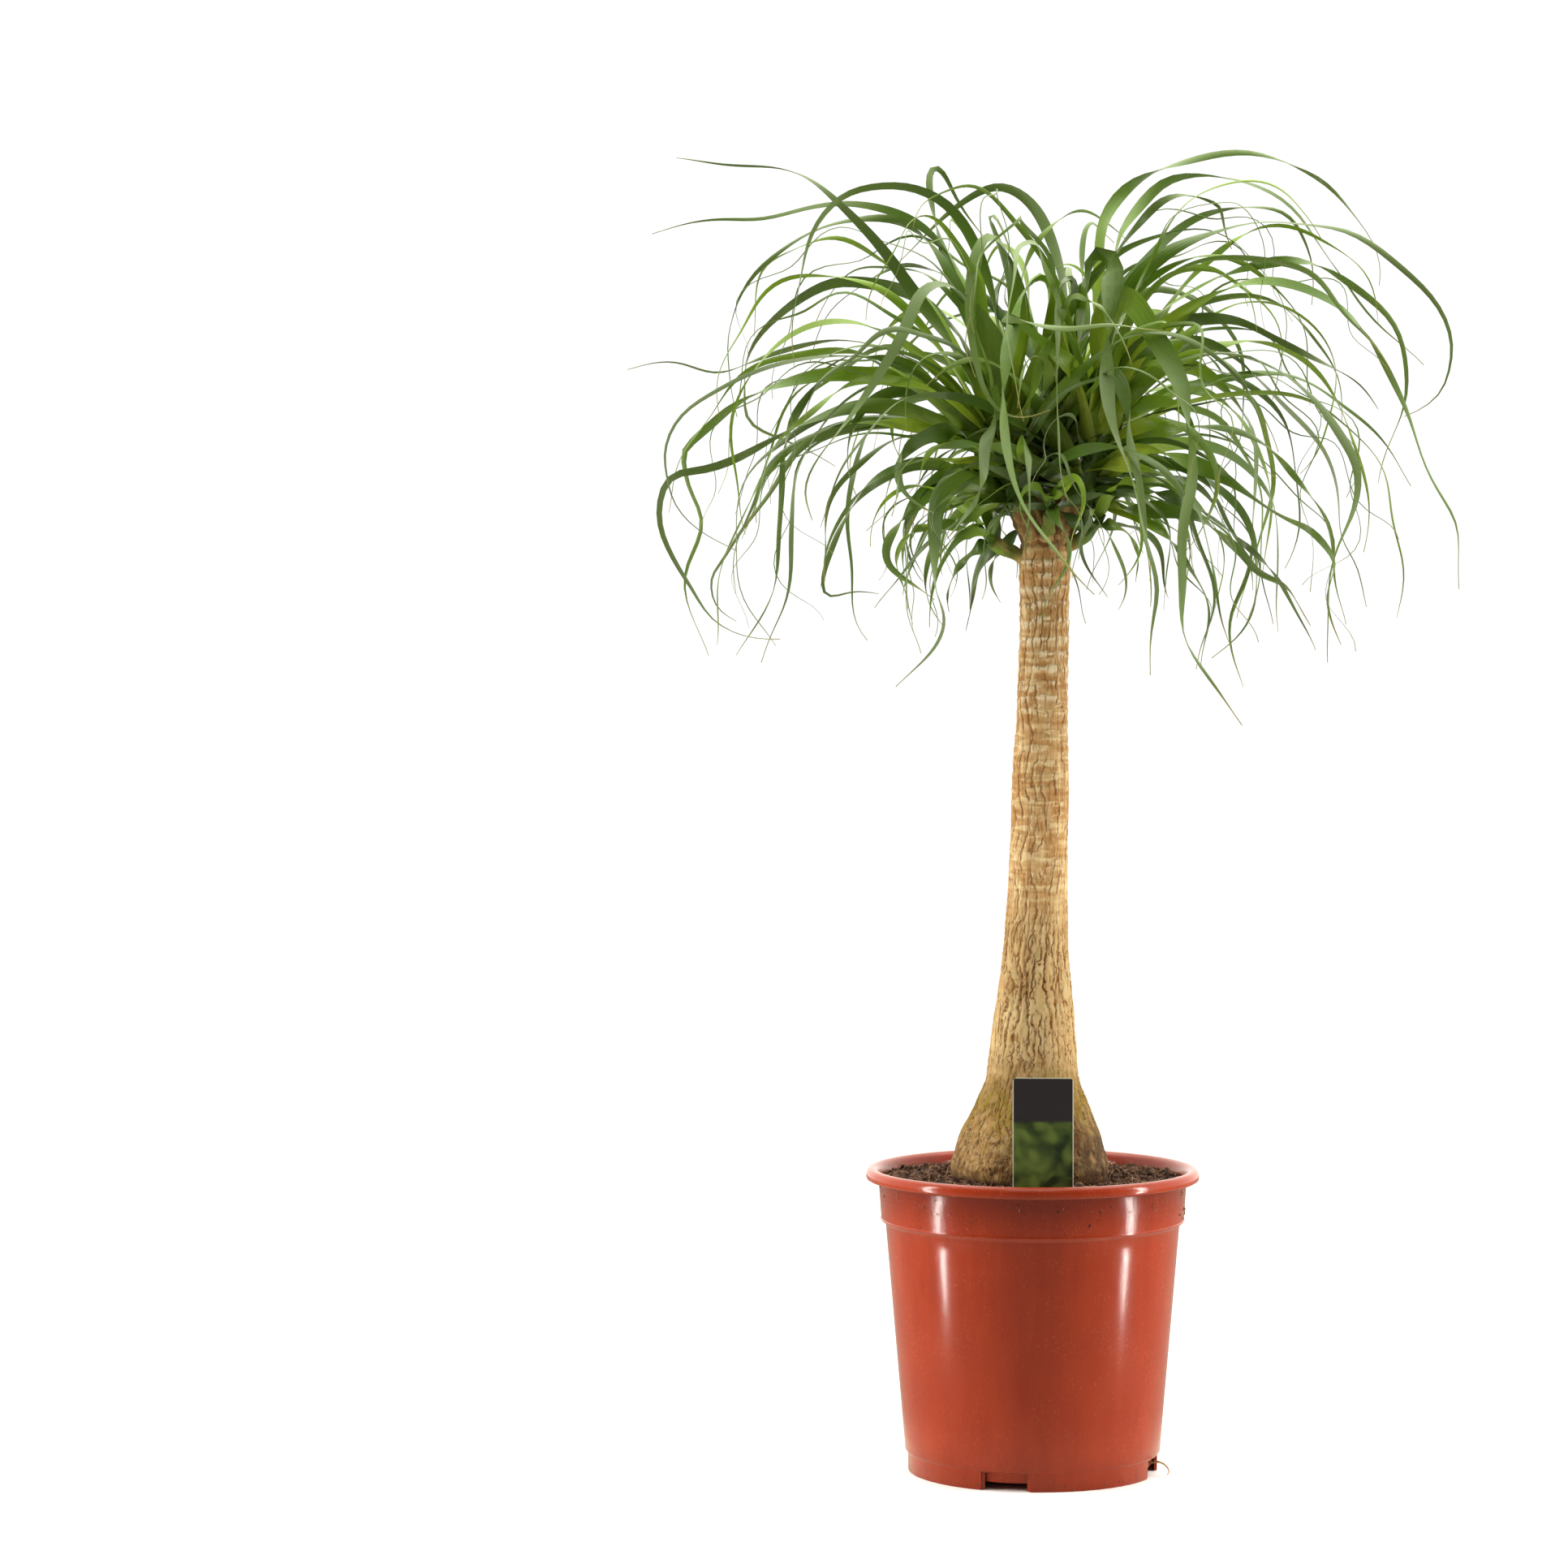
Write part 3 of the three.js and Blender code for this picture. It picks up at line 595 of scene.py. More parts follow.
def tube_rings(path: np.ndarray, radii: np.ndarray, sides: int) -> np.ndarray:
    """Rings of a round tube.

    Args:
        path: points along its middle.
        radii: its radius at each of them.
        sides: points in a ring.

    Returns:
        Rows of rings of points.
    """
    along = np.gradient(path, axis=0)
    along /= np.linalg.norm(along, axis=1, keepdims=True)
    start = np.array([1.0, 0.0, 0.0]) if abs(along[0][0]) < 0.8 else np.array([0.0, 1.0, 0.0])
    angles = around(sides)
    rings = []
    for point, way, radius in zip(path, along, radii, strict=True):
        start = start - way * start.dot(way)
        start /= np.linalg.norm(start)
        ring = np.outer(np.cos(angles), start) + np.outer(np.sin(angles), np.cross(way, start))
        rings.append(point + radius * ring)
    return np.array(rings)


def hand_over(
    piece: bpy.types.Object, nodes: Sequence[str], material: bpy.types.Material
) -> None:
    """Dresses a finished piece and gives it to the frame.

    Args:
        piece: the object, at the origin.
        nodes: the CAD nodes that it stands for.
        material: its finish.
    """
    piece.data.materials.clear()
    piece.data.materials.append(material)
    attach(piece, BODY)
    if nodes:
        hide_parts(*nodes)
    triangles = sum(len(face.vertices) - 2 for face in piece.data.polygons)
    LOG.info("%s: %d triangles", piece.name, triangles)


# ---- Pot ----


@dataclass(frozen=True)
class PotFinish:
    """Glossy moulded plastic with fine pale specks, scuffs, some peat dirt at the foot and a
    painted shadow under the lip.
    """

    body: Colour = srgb(174, 63, 30)
    deep: Colour = srgb(132, 35, 14)
    speck: Colour = srgb(222, 150, 120)
    dirt: Colour = srgb(52, 30, 20)
    shadow: Colour = srgb(92, 24, 12)
    haze: Colour = srgb(255, 226, 196)
    lip_shade_zone: Pair = (200, 234)  # heights where something sets in and where it is full
    lip_end: Pair = (236.5, 235.5)
    dirty_foot: Pair = (24, 4)
    dirty_collar: Pair = (200, 235)
    rough_collar: Pair = (198, 206)
    roughness: float = 0.1
    relief: float = 0.075

    def material(self) -> bpy.types.Material:
        """The plastic's material.

        Returns:
            The material.
        """
        web = Surface("pot_plastic")
        at = web.place()
        height = web.parts(at)[2]
        cloud = web.noise(at, 46, 2)
        streak = web.noise(at, 7, 2, 3, squash=0.09)
        dash = web.cells(at * (1, 1, 0.45), 1.9).step(0.3, 0.02)
        thin = dash * web.noise(at, 15, 1, 5).step(0.38, 0.62)
        # Painted shade: the collar darkens up to the lip, as if in the lip's shadow.
        shade_under_lip = height.step(*self.lip_shade_zone) * height.step(*self.lip_end)
        dust = web.noise(at, 1.2, 3, 9).step(0.6, 0.72) * web.noise(at, 30, 1, 8).step(0.4, 0.65)
        spots = web.cells(at, 5.2).step(0.2, 0.08) * height.step(*self.dirty_foot)
        sparse = web.cells(at, 13).step(0.07, 0.03) * height.step(*self.dirty_collar)
        colour = web.layers(
            self.deep,
            (cloud * 0.5 + streak * 0.5, self.body),
            (thin * 0.18, self.speck),
            (shade_under_lip * 0.55, self.shadow),
            (dust * 0.17, self.speck),
            (spots.at_least(sparse), self.dirt),
        )
        rough = web.noise(at, 9, 4, 2) * 0.14 + dust * 0.2 + spots * 0.4 + self.roughness
        grooves = web.noise(at, 2.2, 2, 6, squash=0.1)
        collar = height.step(*self.rough_collar) * 1.1 + 1
        relief = (web.noise(at, 2.6, 3, 4) * 0.5 + streak * 0.4 + grooves * 0.25) * collar
        return web.shade(
            colour, rough, Normal=web.bump(relief, self.relief), Specular_IOR_Level=0.34,
            Sheen_Weight=0.1, Sheen_Roughness=0.45, Sheen_Tint=self.haze,
        )


@dataclass
class Pot:
    """The thin round nursery pot: a spun wall with foot notches and drain holes cut through it."""

    sides: int = 160
    longest_row: float = 12
    height: float = 245
    rim: float = 135
    lip: float = 9
    collar_top: float = 124.8
    collar_foot: float = 122.8
    step: float = 203
    wall_top: float = 119.1
    wall_foot: float = 103.3
    wall: float = 2
    skirt: float = 100.8
    skirt_height: float = 15.5
    plate: float = 96.5
    plate_underside: float = 6
    plate_thickness: float = 2.5
    ledge: float = 14
    cut_depth: float = 12
    notch_width: float = 40
    notch_angles: tuple[float, ...] = (-12.3, 77.7, 167.7, 257.7)
    drains: tuple[tuple[float, int, float], ...] = ((64, 8, 6), (30, 4, 5))
    sharp_angle: float = 50
    finish: PotFinish = PotFinish()

    def outline(self) -> list[Pair]:
        """The wall's closed outline as (radius, height), from the plate's underside to its top.

        Returns:
            The outline's points.
        """
        wall, skirt, ledge, step = self.wall, self.skirt, self.ledge, self.step
        lip, top = self.height - self.lip, self.height
        corners = (  # each with the points that round it, as steps away from it
            (0, self.plate_underside, ((0, 0),)),
            (self.plate, self.plate_underside, ((-1, 0), (0, 1))),
            (self.plate, ledge, ((0, -0.6), (0.6, 0))),
            (skirt - wall, ledge, ((-0.6, 0), (0, -0.6))),
            (skirt - wall, 0, ((0, 0.5), (0.5, 0))),
            (skirt, 0, ((-0.6, 0), (0, 0.6))),
            (skirt, self.skirt_height, ((0.3, -1.2), (0.9, 0))),
            (self.wall_foot, self.skirt_height, ((-0.9, 0.7), (0, 1.9))),
            (self.wall_top, step, ((0, -3.4), (0.5, -2.4))),
            (self.collar_foot, step,
             ((0, -0.2), (0.5, 0.4), (0.5, 1), (0, 1.7), (0, 2.1), (0.1, 4))),
            (self.collar_top, lip, ((0, -2.2), (0.5, -0.7), (1.3, 0))),
            (self.rim, lip, ((-1.6, -0.2), (-0.4, 0.5), (0, 1.7))),
            (self.rim, top,
             ((-0.1, -4), (-0.8, -1.9), (-2.3, -0.5), (-4.2, 0), (-6.4, -0.2), (-8.6, -1.2))),
            (self.collar_top - wall, top, ((1.2, -3.6),)),
            (self.collar_top - wall, lip, ((0, -2),)),
            (self.collar_foot - wall, step, ((0, 2),)),
            (self.wall_top - wall, step, ((0, -2),)),
            (self.wall_foot - wall, self.skirt_height, ((0, 2.2),)),
            (self.wall_foot - wall, ledge, ((-1.2, 2),)),
            (self.plate - wall, ledge, ((0, 2),)),
            (self.plate - wall, self.plate_underside + self.plate_thickness, ((0, 0),)),
            (0, self.plate_underside + self.plate_thickness, ((0, 0),)),
        )
        return [(radius + r, height + h) for radius, height, steps in corners for r, h in steps]

    def dense_outline(self) -> np.ndarray:
        """The outline with more points on its long runs, so that the spun wall has rows.

        Returns:
            Rows of (radius, height).
        """
        points = np.array(self.outline())
        dense = [points[0]]
        for start, end in itertools.pairwise(points):
            parts = max(1, int(np.linalg.norm(end - start) // self.longest_row))
            dense += [start + (end - start) * (k + 1) / parts for k in range(parts)]
        return np.array(dense)

    def spun(self) -> bpy.types.Object:
        """The wall as a surface of revolution, closed on the axis.

        Returns:
            The object.
        """
        mesh = bmesh.new()
        rings = []
        for radius, height in self.dense_outline():
            angles = around(self.sides) if radius > 1e-6 else [0]
            places = [(radius * math.cos(a), radius * math.sin(a), height) for a in angles]
            rings.append([mesh.verts.new(placed(place)) for place in places])
        for below, above in itertools.pairwise(rings):
            for k in range(self.sides):
                steps = ((below, k), (below, k + 1), (above, k + 1), (above, k))
                mesh.faces.new(dict.fromkeys(ring[i % len(ring)] for ring, i in steps))
        return turned_out(mesh, "pot_raw")

    def cutters(self) -> bpy.types.Object:
        """Blocks for the foot notches and rods for the drain holes, as one object.

        Returns:
            The object.
        """
        mesh = bmesh.new()
        depth = self.cut_depth
        size = Matrix.Diagonal((self.notch_width, depth, self.ledge + 2, 1))
        move = Matrix.Translation((0, -(self.plate + 0.8 + depth / 2), self.ledge / 2))
        for angle in self.notch_angles:
            block = bmesh.ops.create_cube(mesh, size=1)["verts"]
            turn = Matrix.Rotation(math.radians(angle), 4, "Z")
            bmesh.ops.transform(mesh, matrix=turn @ move @ size, verts=block)
        for radius, count, hole in self.drains:
            for angle in around(count):
                rod = bmesh.ops.create_cone(
                    mesh, cap_ends=True, segments=24, radius1=hole, radius2=hole, depth=depth
                )["verts"]
                x, y = radius * math.cos(angle), radius * math.sin(angle)
                bmesh.ops.translate(mesh, vec=(x, y, self.plate_underside), verts=rod)
        bmesh.ops.transform(mesh, matrix=TO_FRAME, verts=mesh.verts)
        return turned_out(mesh, "pot_cutters")

    def build(self) -> None:
        """Makes the pot and gives it to the frame."""
        raw, cutters = self.spun(), self.cutters()
        cut = raw.modifiers.new("cut", "BOOLEAN")
        cut.object, cut.solver = cutters, "EXACT"
        pot = baked(raw, "pot_body")
        bpy.data.objects.remove(cutters)
        pot.data.shade_smooth()
        pot.data.set_sharp_from_angle(angle=math.radians(self.sharp_angle))
        hand_over(pot, ["pot"], self.finish.material())


# ---- Soil ----


@dataclass(frozen=True)
class SoilFinish:
    """Moist brown peat, or one of the things mixed in it."""

    name: str = "peat"
    dark: Colour = srgb(38, 24, 16)
    light: Colour = srgb(122, 84, 58)
    roughness: float = 0.9
    relief: float = 0.9

    def material(self) -> bpy.types.Material:
        """The material of the peat or of a thing in it.

        Returns:
            The material.
        """
        web = Surface(self.name)
        at = web.place()
        tone = web.noise(at, 2.4, 4) * 0.65 + web.noise(at, 11, 2, 4) * 0.35
        colour = web.mix(tone.step(0.36, 0.68), self.dark, self.light)
        normal = web.bump(web.noise(at, 1.3, 4, 7), self.relief)
        return web.shade(colour, self.roughness, Normal=normal)


@dataclass
class Soil:
    """The peat fill: a lumpy top inside the rim, crumbs and light fibres on it."""

    top: float = 235
    radius: float = 122.2
    hidden_radius: float = 30
    trunk_radius: float = 44
    wall_rings: tuple[Pair, ...] = ((120.8, 205), (117, 200), (100.6, 17))
    lump: float = 2.6
    dip: float = 3
    dip_edge: float = 80
    dip_slope: float = 30
    heap: float = 3.5
    heap_place: Pair = (-88, -20)
    heap_size: Pair = (34, 60)
    fine: tuple[Triple, ...] = ((2.2, 9, 3), (1.3, 4, 4), (0.7, 2, 5))  # height, width, seed
    rings: int = 46
    sides: int = 150
    crumbs: int = 3800
    fibres: int = 420
    scattered_area: float = 0.045
    crumb_size: float = 2.1
    crumb_push: float = 1.8
    crumb_bumps: float = 420  # how many dents in a metre
    spin: float = 6.28
    fibre_size: float = 0.33
    fibre_lift: float = 0.9
    fibre_bends: tuple[Triple, ...] = ((-6, 0, 0), (0, 4, 2.4), (6, 1, 0))
    root_bends: tuple[Triple, ...] = (
        (88, -17, 8), (93, -20, 9), (98, -23, 11), (102, -25, 11.5), (106, -27, 10),
        (109, -28, 7), (110, -29, 4), (108.5, -31, 2.2),
    )
    root_steps: int = 34
    root_sides: int = 10
    root_radii: Pair = (1.1, 0.4)
    finish: SoilFinish = SoilFinish()
    fibre_finish: SoilFinish = SoilFinish("fibre", srgb(120, 84, 52), srgb(196, 160, 112), 0.8)
    root_finish: SoilFinish = SoilFinish("root", srgb(150, 110, 66), srgb(214, 180, 128), 0.7)

    def height_at(self, x: np.ndarray, y: np.ndarray) -> np.ndarray:
        """How high the surface stands, by the lumps of the part's source and finer ones.

        Args:
            x: the places' x.
            y: their y.

        Returns:
            The height at each place.
        """
        radius = np.hypot(x, y)
        waves = np.sin(x * 0.17 + 1.3) * np.sin(y * 0.19 + 0.4) + 0.7 * np.sin(x * 0.41 + y * 0.33)
        flat = np.stack([x, y, 0 * x], axis=-1)
        fine = sum(height * grain(flat / width, seed) for height, width, seed in self.fine)
        (heap_x, heap_y), (wide, deep) = self.heap_place, self.heap_size
        heap = self.heap * np.exp(-(((x - heap_x) / wide) ** 2 + ((y - heap_y) / deep) ** 2))
        dip = self.dip * np.clip((self.dip_edge - radius) / self.dip_slope, 0, 1)
        edge = smooth(self.radius - 1, self.radius - 9, radius)
        return self.top + (self.lump * waves + fine) * (0.3 + 0.7 * edge) - dip + heap

    def surface(self) -> Shape:
        """The top from the trunk out to the wall, and the hidden side and floor below it.

        Returns:
            The shape.
        """
        cos, sin = np.cos(around(self.sides)), np.sin(around(self.sides))
        rings = []
        shown_radii = np.linspace(self.trunk_radius, self.radius, self.rings)
        for radius in (self.hidden_radius, *shown_radii):
            x, y = radius * cos, radius * sin
            rings.append(np.stack([x, y, self.height_at(x, y)], axis=-1))
        for radius, height in self.wall_rings:
            rings.append(np.stack([radius * cos, radius * sin, 0 * cos + height], axis=-1))
        shape = Shape()
        shape.add_rings(np.array(rings)[::-1])
        return shape

    def scatter(self, growth: Growth, density: str, seed: int, depth: float) -> Wire:
        """Points over the part of the surface that shows.

        Args:
            growth: the tree that they are made in.
            density: the name of its input for how many there are in a square metre.
            seed: where they fall.
            depth: how far below the surface's mean level they may still lie.

        Returns:
            The points; the node's Normal output is the way the surface looks.
        """
        height = growth.parts(growth.make("InputPosition"))[2]
        above = {"data_type": "FLOAT", "operation": "GREATER_THAN"}
        lowest = (self.top - depth) * MM
        shows = growth.node("FunctionNodeCompare", above, {"A": height, "B": lowest})
        return growth.node(
            "GeometryNodeDistributePointsOnFaces",
            {"distribute_method": "RANDOM"},
            {"Mesh": growth.source, "Selection": shows, "Density": growth.given(density),
             "Seed": seed},
        )

    def crumb_piece(self, guide: bpy.types.Object, finish: bpy.types.Material) -> bpy.types.Object:
        """Crumbs of peat, each an angular lump of a few faces.

        Args:
            guide: a copy of the surface, which is used up.
            finish: their material.

        Returns:
            The piece.
        """
        growth = Growth(
            "crumbs", finish, crumbs_per_m2=self.crumbs / self.scattered_area,
            crumb_size=self.crumb_size * MM,
        )
        points = self.scatter(growth, "crumbs_per_m2", seed=5, depth=12)
        lump = growth.make("MeshIcoSphere", {"Subdivisions": 1, "Radius": 1.0})
        scale = growth.random((0.35, 0.35, 0.3), (1.5, 1.15, 0.85), 2)
        size = growth.random(0.35, 1.5, 6) * growth.given("crumb_size")
        turn = growth.random((0, 0, 0), (self.spin,) * 3, 3)
        sockets = {"Points": points, "Instance": lump, "Rotation": turn, "Scale": scale * size}
        loose = growth.make(
            "RealizeInstances", {"Geometry": growth.make("InstanceOnPoints", sockets)}
        )
        bumps = {"Vector": growth.make("InputPosition"), "Scale": self.crumb_bumps, "Detail": 1}
        push = growth.node("ShaderNodeTexNoise", {}, bumps).vector() - (0.5, 0.5, 0.5)
        offset = push * (self.crumb_push * MM)
        rough = growth.make("SetPosition", {"Geometry": loose, "Offset": offset})
        return growth.run(guide, "soil_crumbs", rough)

    def fibre_piece(self, guide: bpy.types.Object, finish: bpy.types.Material) -> bpy.types.Object:
        """Light fibres that lie on the peat, each a bent three-sided strand.

        Args:
            guide: a copy of the surface, which is used up.
            finish: their material.

        Returns:
            The piece.
        """
        growth = Growth(
            "fibres", finish, fibres_per_m2=self.fibres / self.scattered_area,
            thickness=self.fibre_size * MM,
        )
        points = self.scatter(growth, "fibres_per_m2", seed=8, depth=9)
        bends = [tuple(c * MM for c in bend) for bend in self.fibre_bends]
        sockets = {"Resolution": 5, **dict(zip(("Start", "Middle", "End"), bends, strict=True))}
        strand = growth.make("CurveQuadraticBezier", sockets)
        sockets = {"Resolution": 3, "Radius": growth.given("thickness")}
        ring = growth.make("CurvePrimitiveCircle", sockets)
        sockets = {"Curve": strand, "Profile Curve": ring, "Fill Caps": True}
        bar = growth.make("CurveToMesh", sockets)
        sockets = {"Vector": points.other("Normal")}
        upright = growth.node("FunctionNodeAlignRotationToVector", {"axis": "Z"}, sockets)
        sockets = {"Axis": (0, 0, 1), "Angle": growth.random(0, self.spin, 4)}
        spin = growth.node("FunctionNodeAxisAngleToRotation", {}, sockets)
        turn = growth.node(
            "FunctionNodeRotateRotation", {"rotation_space": "LOCAL"}, {0: upright, 1: spin}
        )
        scale = growth.random((0.35, 0.3, 0.6), (1.5, 1.3, 1.4), 9)
        lift = (0, 0, self.fibre_lift * MM)
        raised = growth.make("SetPosition", {"Geometry": points, "Offset": lift})
        sockets = {"Points": raised, "Instance": bar, "Rotation": turn, "Scale": scale}
        return growth.run(guide, "soil_fibres", growth.make("InstanceOnPoints", sockets))

    def root(self) -> bpy.types.Object:
        """A thin pale root that has grown out of the right foot notch.

        Returns:
            The piece.
        """
        bends = np.array(self.root_bends)
        t = np.linspace(0, len(bends) - 1, self.root_steps)
        path = np.stack([np.interp(t, np.arange(len(bends)), way) for way in bends.T], axis=-1)
        path[1:-1] = (path[:-2] + path[1:-1] * 2 + path[2:]) / 4
        shape = Shape()
        radii = np.linspace(*self.root_radii, self.root_steps)
        shape.add_rings(tube_rings(path, radii, self.root_sides))
        return shape.show("soil_root")

    def build(self) -> None:
        """Makes the peat, its crumbs, its fibres and the root and gives them to the frame."""
        peat, fibre = self.finish.material(), self.fibre_finish.material()
        surface = self.surface()
        crumbs = self.crumb_piece(surface.show("crumb_guide"), peat)
        fibres = self.fibre_piece(surface.show("fibre_guide"), fibre)
        hand_over(surface.show("soil_fill"), ["soil"], peat)
        hand_over(crumbs, [], peat)
        hand_over(fibres, [], fibre)
        hand_over(self.root(), [], self.root_finish.material())


# ---- Heads of leaves ----


class Kind(Enum):
    """What a head is: one of the three big ones, or a small low shoot."""

    BIG = "big"
    LOW = "low"


@dataclass(frozen=True)
class Head:
    """One head of leaves round an axis. Lengths, pulls and limits are ranges for seeded draws."""

    name: str
    base: Triple
    axis: Triple
    start: float
    count: int
    seed: int
    turn: float
    kind: Kind = Kind.BIG
    core: float = 78
    radius: float = 17
    spread: float = 76
    open: float = 8
    floor: Pair = (640, 800)
    ceiling: Pair = (965, 1045)
    reach: Pair = (230, 330)
    front_gap: float = 26
    length: Pair = (330, 500)
    width: Pair = (7.5, 11)
    pull: Pair = (1.5, 2.9)
    stub: Pair = (13, 11)

    def frame(self) -> tuple[Vector, Vector, Vector]:
        """The head's axis and two directions square to it.

        Returns:
            The three directions.
        """
        axis = Vector(self.axis).normalized()
        right = Vector((0, 1, 0)).cross(axis).normalized()
        return axis, right, axis.cross(right)


def low_head(name: str, *facts: object, **limits: object) -> Head:
    """One of the small low shoots.

    Args:
        name: its name.
        *facts: the next fields of its head, in order.
        **limits: other fields of its head.

    Returns:
        Its head.
    """
    shared = {
        "kind": Kind.LOW, "core": 26, "radius": 10, "length": (130, 245), "width": (7.5, 10.5),
        "spread": 88, "open": 10, "pull": (2.2, 3.6), "ceiling": (880, 930), "stub": (8, 7),
    }
    return Head(name, *facts, **shared, **limits)


HEADS = {
    head.name: head
    for head in (
        Head("left", (-8, -4, 780), (-0.4, -0.1, 1), 740, 30, 11, 0.4),
        Head("right", (36, -2, 784), (0.42, -0.08, 1), 742, 30, 23, 1.9),
        Head("back", (14, 14, 790), (0.04, 0.34, 1), 744, 28, 37, 3.1, core=70, radius=16,
             spread=74),
        low_head("lowLeft", (-27, -10, 748), (-0.9, -0.35, 0.95), 730, 11, 41, 0.9,
                 floor=(635, 740), reach=(90, 170), front_gap=10),
        low_head("lowRight", (42, -8, 756), (0.9, -0.3, 1), 736, 10, 53, 2.2,
                 floor=(650, 745), reach=(100, 180), front_gap=10),
        low_head("lowFront", (14, -30, 770), (0.1, -0.9, 1), 742, 8, 67, 0.2,
                 floor=(665, 750), reach=(80, 140), front_gap=0),
        low_head("lowBack", (-4, 27, 762), (-0.15, 0.9, 1), 738, 8, 71, 1.2,
                 floor=(640, 740), reach=(90, 170), front_gap=0),
    )
}


# ---- Trunk ----


@dataclass(frozen=True)
class BarkFinish:
    """Corky bark: tan ridges with a painted highlight beside the cracks, red-brown cracks, cream
    ring edges above, algae on the foot.
    """

    tan: Colour = srgb(214, 174, 118)
    light: Colour = srgb(248, 226, 174)
    orange: Colour = srgb(186, 138, 82)
    cream: Colour = srgb(248, 232, 196)
    plate: Colour = srgb(200, 178, 128)
    crack: Colour = srgb(142, 90, 42)
    furrow: Colour = srgb(140, 86, 38)
    foot: Colour = srgb(150, 114, 64)
    foot_dark: Colour = srgb(78, 54, 26)
    knot: Colour = srgb(100, 62, 34)
    algae: Colour = srgb(132, 112, 26)
    dirt: Colour = srgb(56, 34, 20)
    bud: Colour = srgb(82, 112, 34)
    foot_zone: Pair = (352, 296)  # heights where something sets in and where it is full
    low_zone: Pair = (500, 400)
    patch_zone: Pair = (400, 560)
    band_zone: Pair = (430, 500)
    band_end: Pair = (690, 630)
    net_zone: Pair = (345, 300)
    algae_zone: Pair = (340, 306)
    algae_end: Pair = (258, 288)
    moss_zone: Pair = (480, 390)
    stain_zone: Pair = (312, 258)
    stain_side: Pair = (10, 38)
    furrow_zone: Pair = (470, 380)
    soil_line: Pair = (244, 237)
    knot_zone: Pair = (740, 760)
    roughness: float = 0.8
    relief: float = 0.8
    fissures: tuple[tuple[str, float], ...] = (("long", 0.8), ("dense", 0.75), ("fine", 0.6))

    def material(self) -> bpy.types.Material:
        """The bark's material, which reads the relief that the mesh carries.

        Returns:
            The material.
        """
        web = Surface("bark")
        at = web.place()
        x, _, height = web.parts(at)
        crack, rise, flake, bud = (web.read(n) for n in ("crack", "rise", "flake", "bud"))
        low, lower = height.step(*self.foot_zone), height.step(*self.low_zone)
        fibre = web.noise(at, 1.3, 3, 2, squash=0.12)
        woody = web.noise(at, 2.2, 4, 17, squash=0.5)
        patch = web.noise(at, 16, 2, 1, squash=0.35).step(0.5, 0.66)
        patch = patch * height.step(*self.patch_zone)
        speck = web.noise(at, 1.7, 2, 13, squash=0.4).step(0.6, 0.72)
        mid = height.step(*self.band_zone) * height.step(*self.band_end)
        bent = at + web.noise(at, 9, 2, 19).vector() * 3.5
        level = (0.2, 0.2, 1)
        band = web.noise(bent, 4.6, 3, 21, squash=level).step(0.52, 0.6) * mid
        gap = web.noise(bent, 5.4, 3, 23, squash=level).step(0.45, 0.37) * mid
        foot = web.layers(
            self.foot_dark,
            ((rise * 0.4 + woody * 0.6).step(0.25, 0.54), self.foot),
            (web.noise(at, 4.5, 3, 39, squash=0.7).step(0.5, 0.6) * 0.35, self.plate),
        )
        skewed = at * (1, 1, 0.36) + web.noise(at, 5, 3, 27).vector() * 7
        net = web.cells(skewed, 5, "DISTANCE_TO_EDGE").step(0.15, 0.0)
        net = net * web.noise(at, 7, 3, 29).step(0.46, 0.6) * height.step(*self.net_zone)
        film = web.noise(at, 21, 2, 8) * 0.6 + web.noise(at, 4, 3, 31, squash=0.22) * 0.4
        green = film.step(0.4, 0.6) * height.step(*self.algae_zone)
        green = green * height.step(*self.algae_end)
        moss = web.noise(at, 9, 2, 9, squash=0.5).step(0.5, 0.7) * height.step(*self.moss_zone)
        stain = web.noise(at, 14, 3, 11).step(0.34, 0.56) * x.step(*self.stain_side)
        stain = stain * height.step(*self.stain_zone)
        dark = web.mix(height.step(*self.furrow_zone), self.crack, self.furrow)
        ends = web.noise(at, 6, 3, 33).step(0.3, 0.55) * height.step(*self.knot_zone)
        ragged = (web.noise(at, 1.3, 3, 35, squash=0.5) - 0.5) * 1.7
        lines = [
            (web.read(name + "_gap") + ragged).size().step(wide, wide * 0.3)
            * web.read(name + "_on")
            for name, wide in self.fissures
        ]
        sharp = functools.reduce(Wire.at_least, lines, crack * 0)
        sharp = sharp * web.noise(at, 5, 3, 37).step(0.36, 0.52)
        colour = web.layers(
            self.orange,
            # rise is the bark's tone: its own stripes and ring lips, plus a painted highlight
            # beside each crack.
            (rise.step(0.1, 0.6), self.tan),
            (rise.step(0.45, 0.95) * 0.75, self.light),
            (patch * 0.45, self.orange),
            (fibre.step(0.6, 0.35) * 0.4, self.orange),
            (speck * 0.35, self.light),
            (lower * (rise.step(0.2, 0.6) * 0.35 + 0.45), self.plate),
            (band * 0.55, self.light),
            (gap * 0.45, self.orange),
            (flake * 0.85, self.cream),
            (low * 0.9, foot),
            (net * 0.6, self.foot_dark),
            (green * 0.7, self.algae),
            (moss * 0.3, self.algae),
            ((stain * 0.85).at_least(height.step(*self.soil_line)), self.dirt),
            ((crack * 0.6).at_least(fibre.step(0.4, 0.28) * 0.35), dark),
            (sharp * (lower * 0.2 + 0.5 + low * 0.2), web.mix(low * 0.85, dark, self.foot_dark)),
            (ends * 0.75, self.knot),
            (bud * 0.85, self.bud),
        )
        relief = fibre * 0.6 + web.noise(at, 1.1, 3, 5, squash=0.5) * 0.4 + woody * low * 1.8
        normal = web.bump(relief + band * 0.35 - net * 0.6 - sharp * 0.6, self.relief)
        return web.shade(colour, self.roughness, Normal=normal, Specular_IOR_Level=0.25)


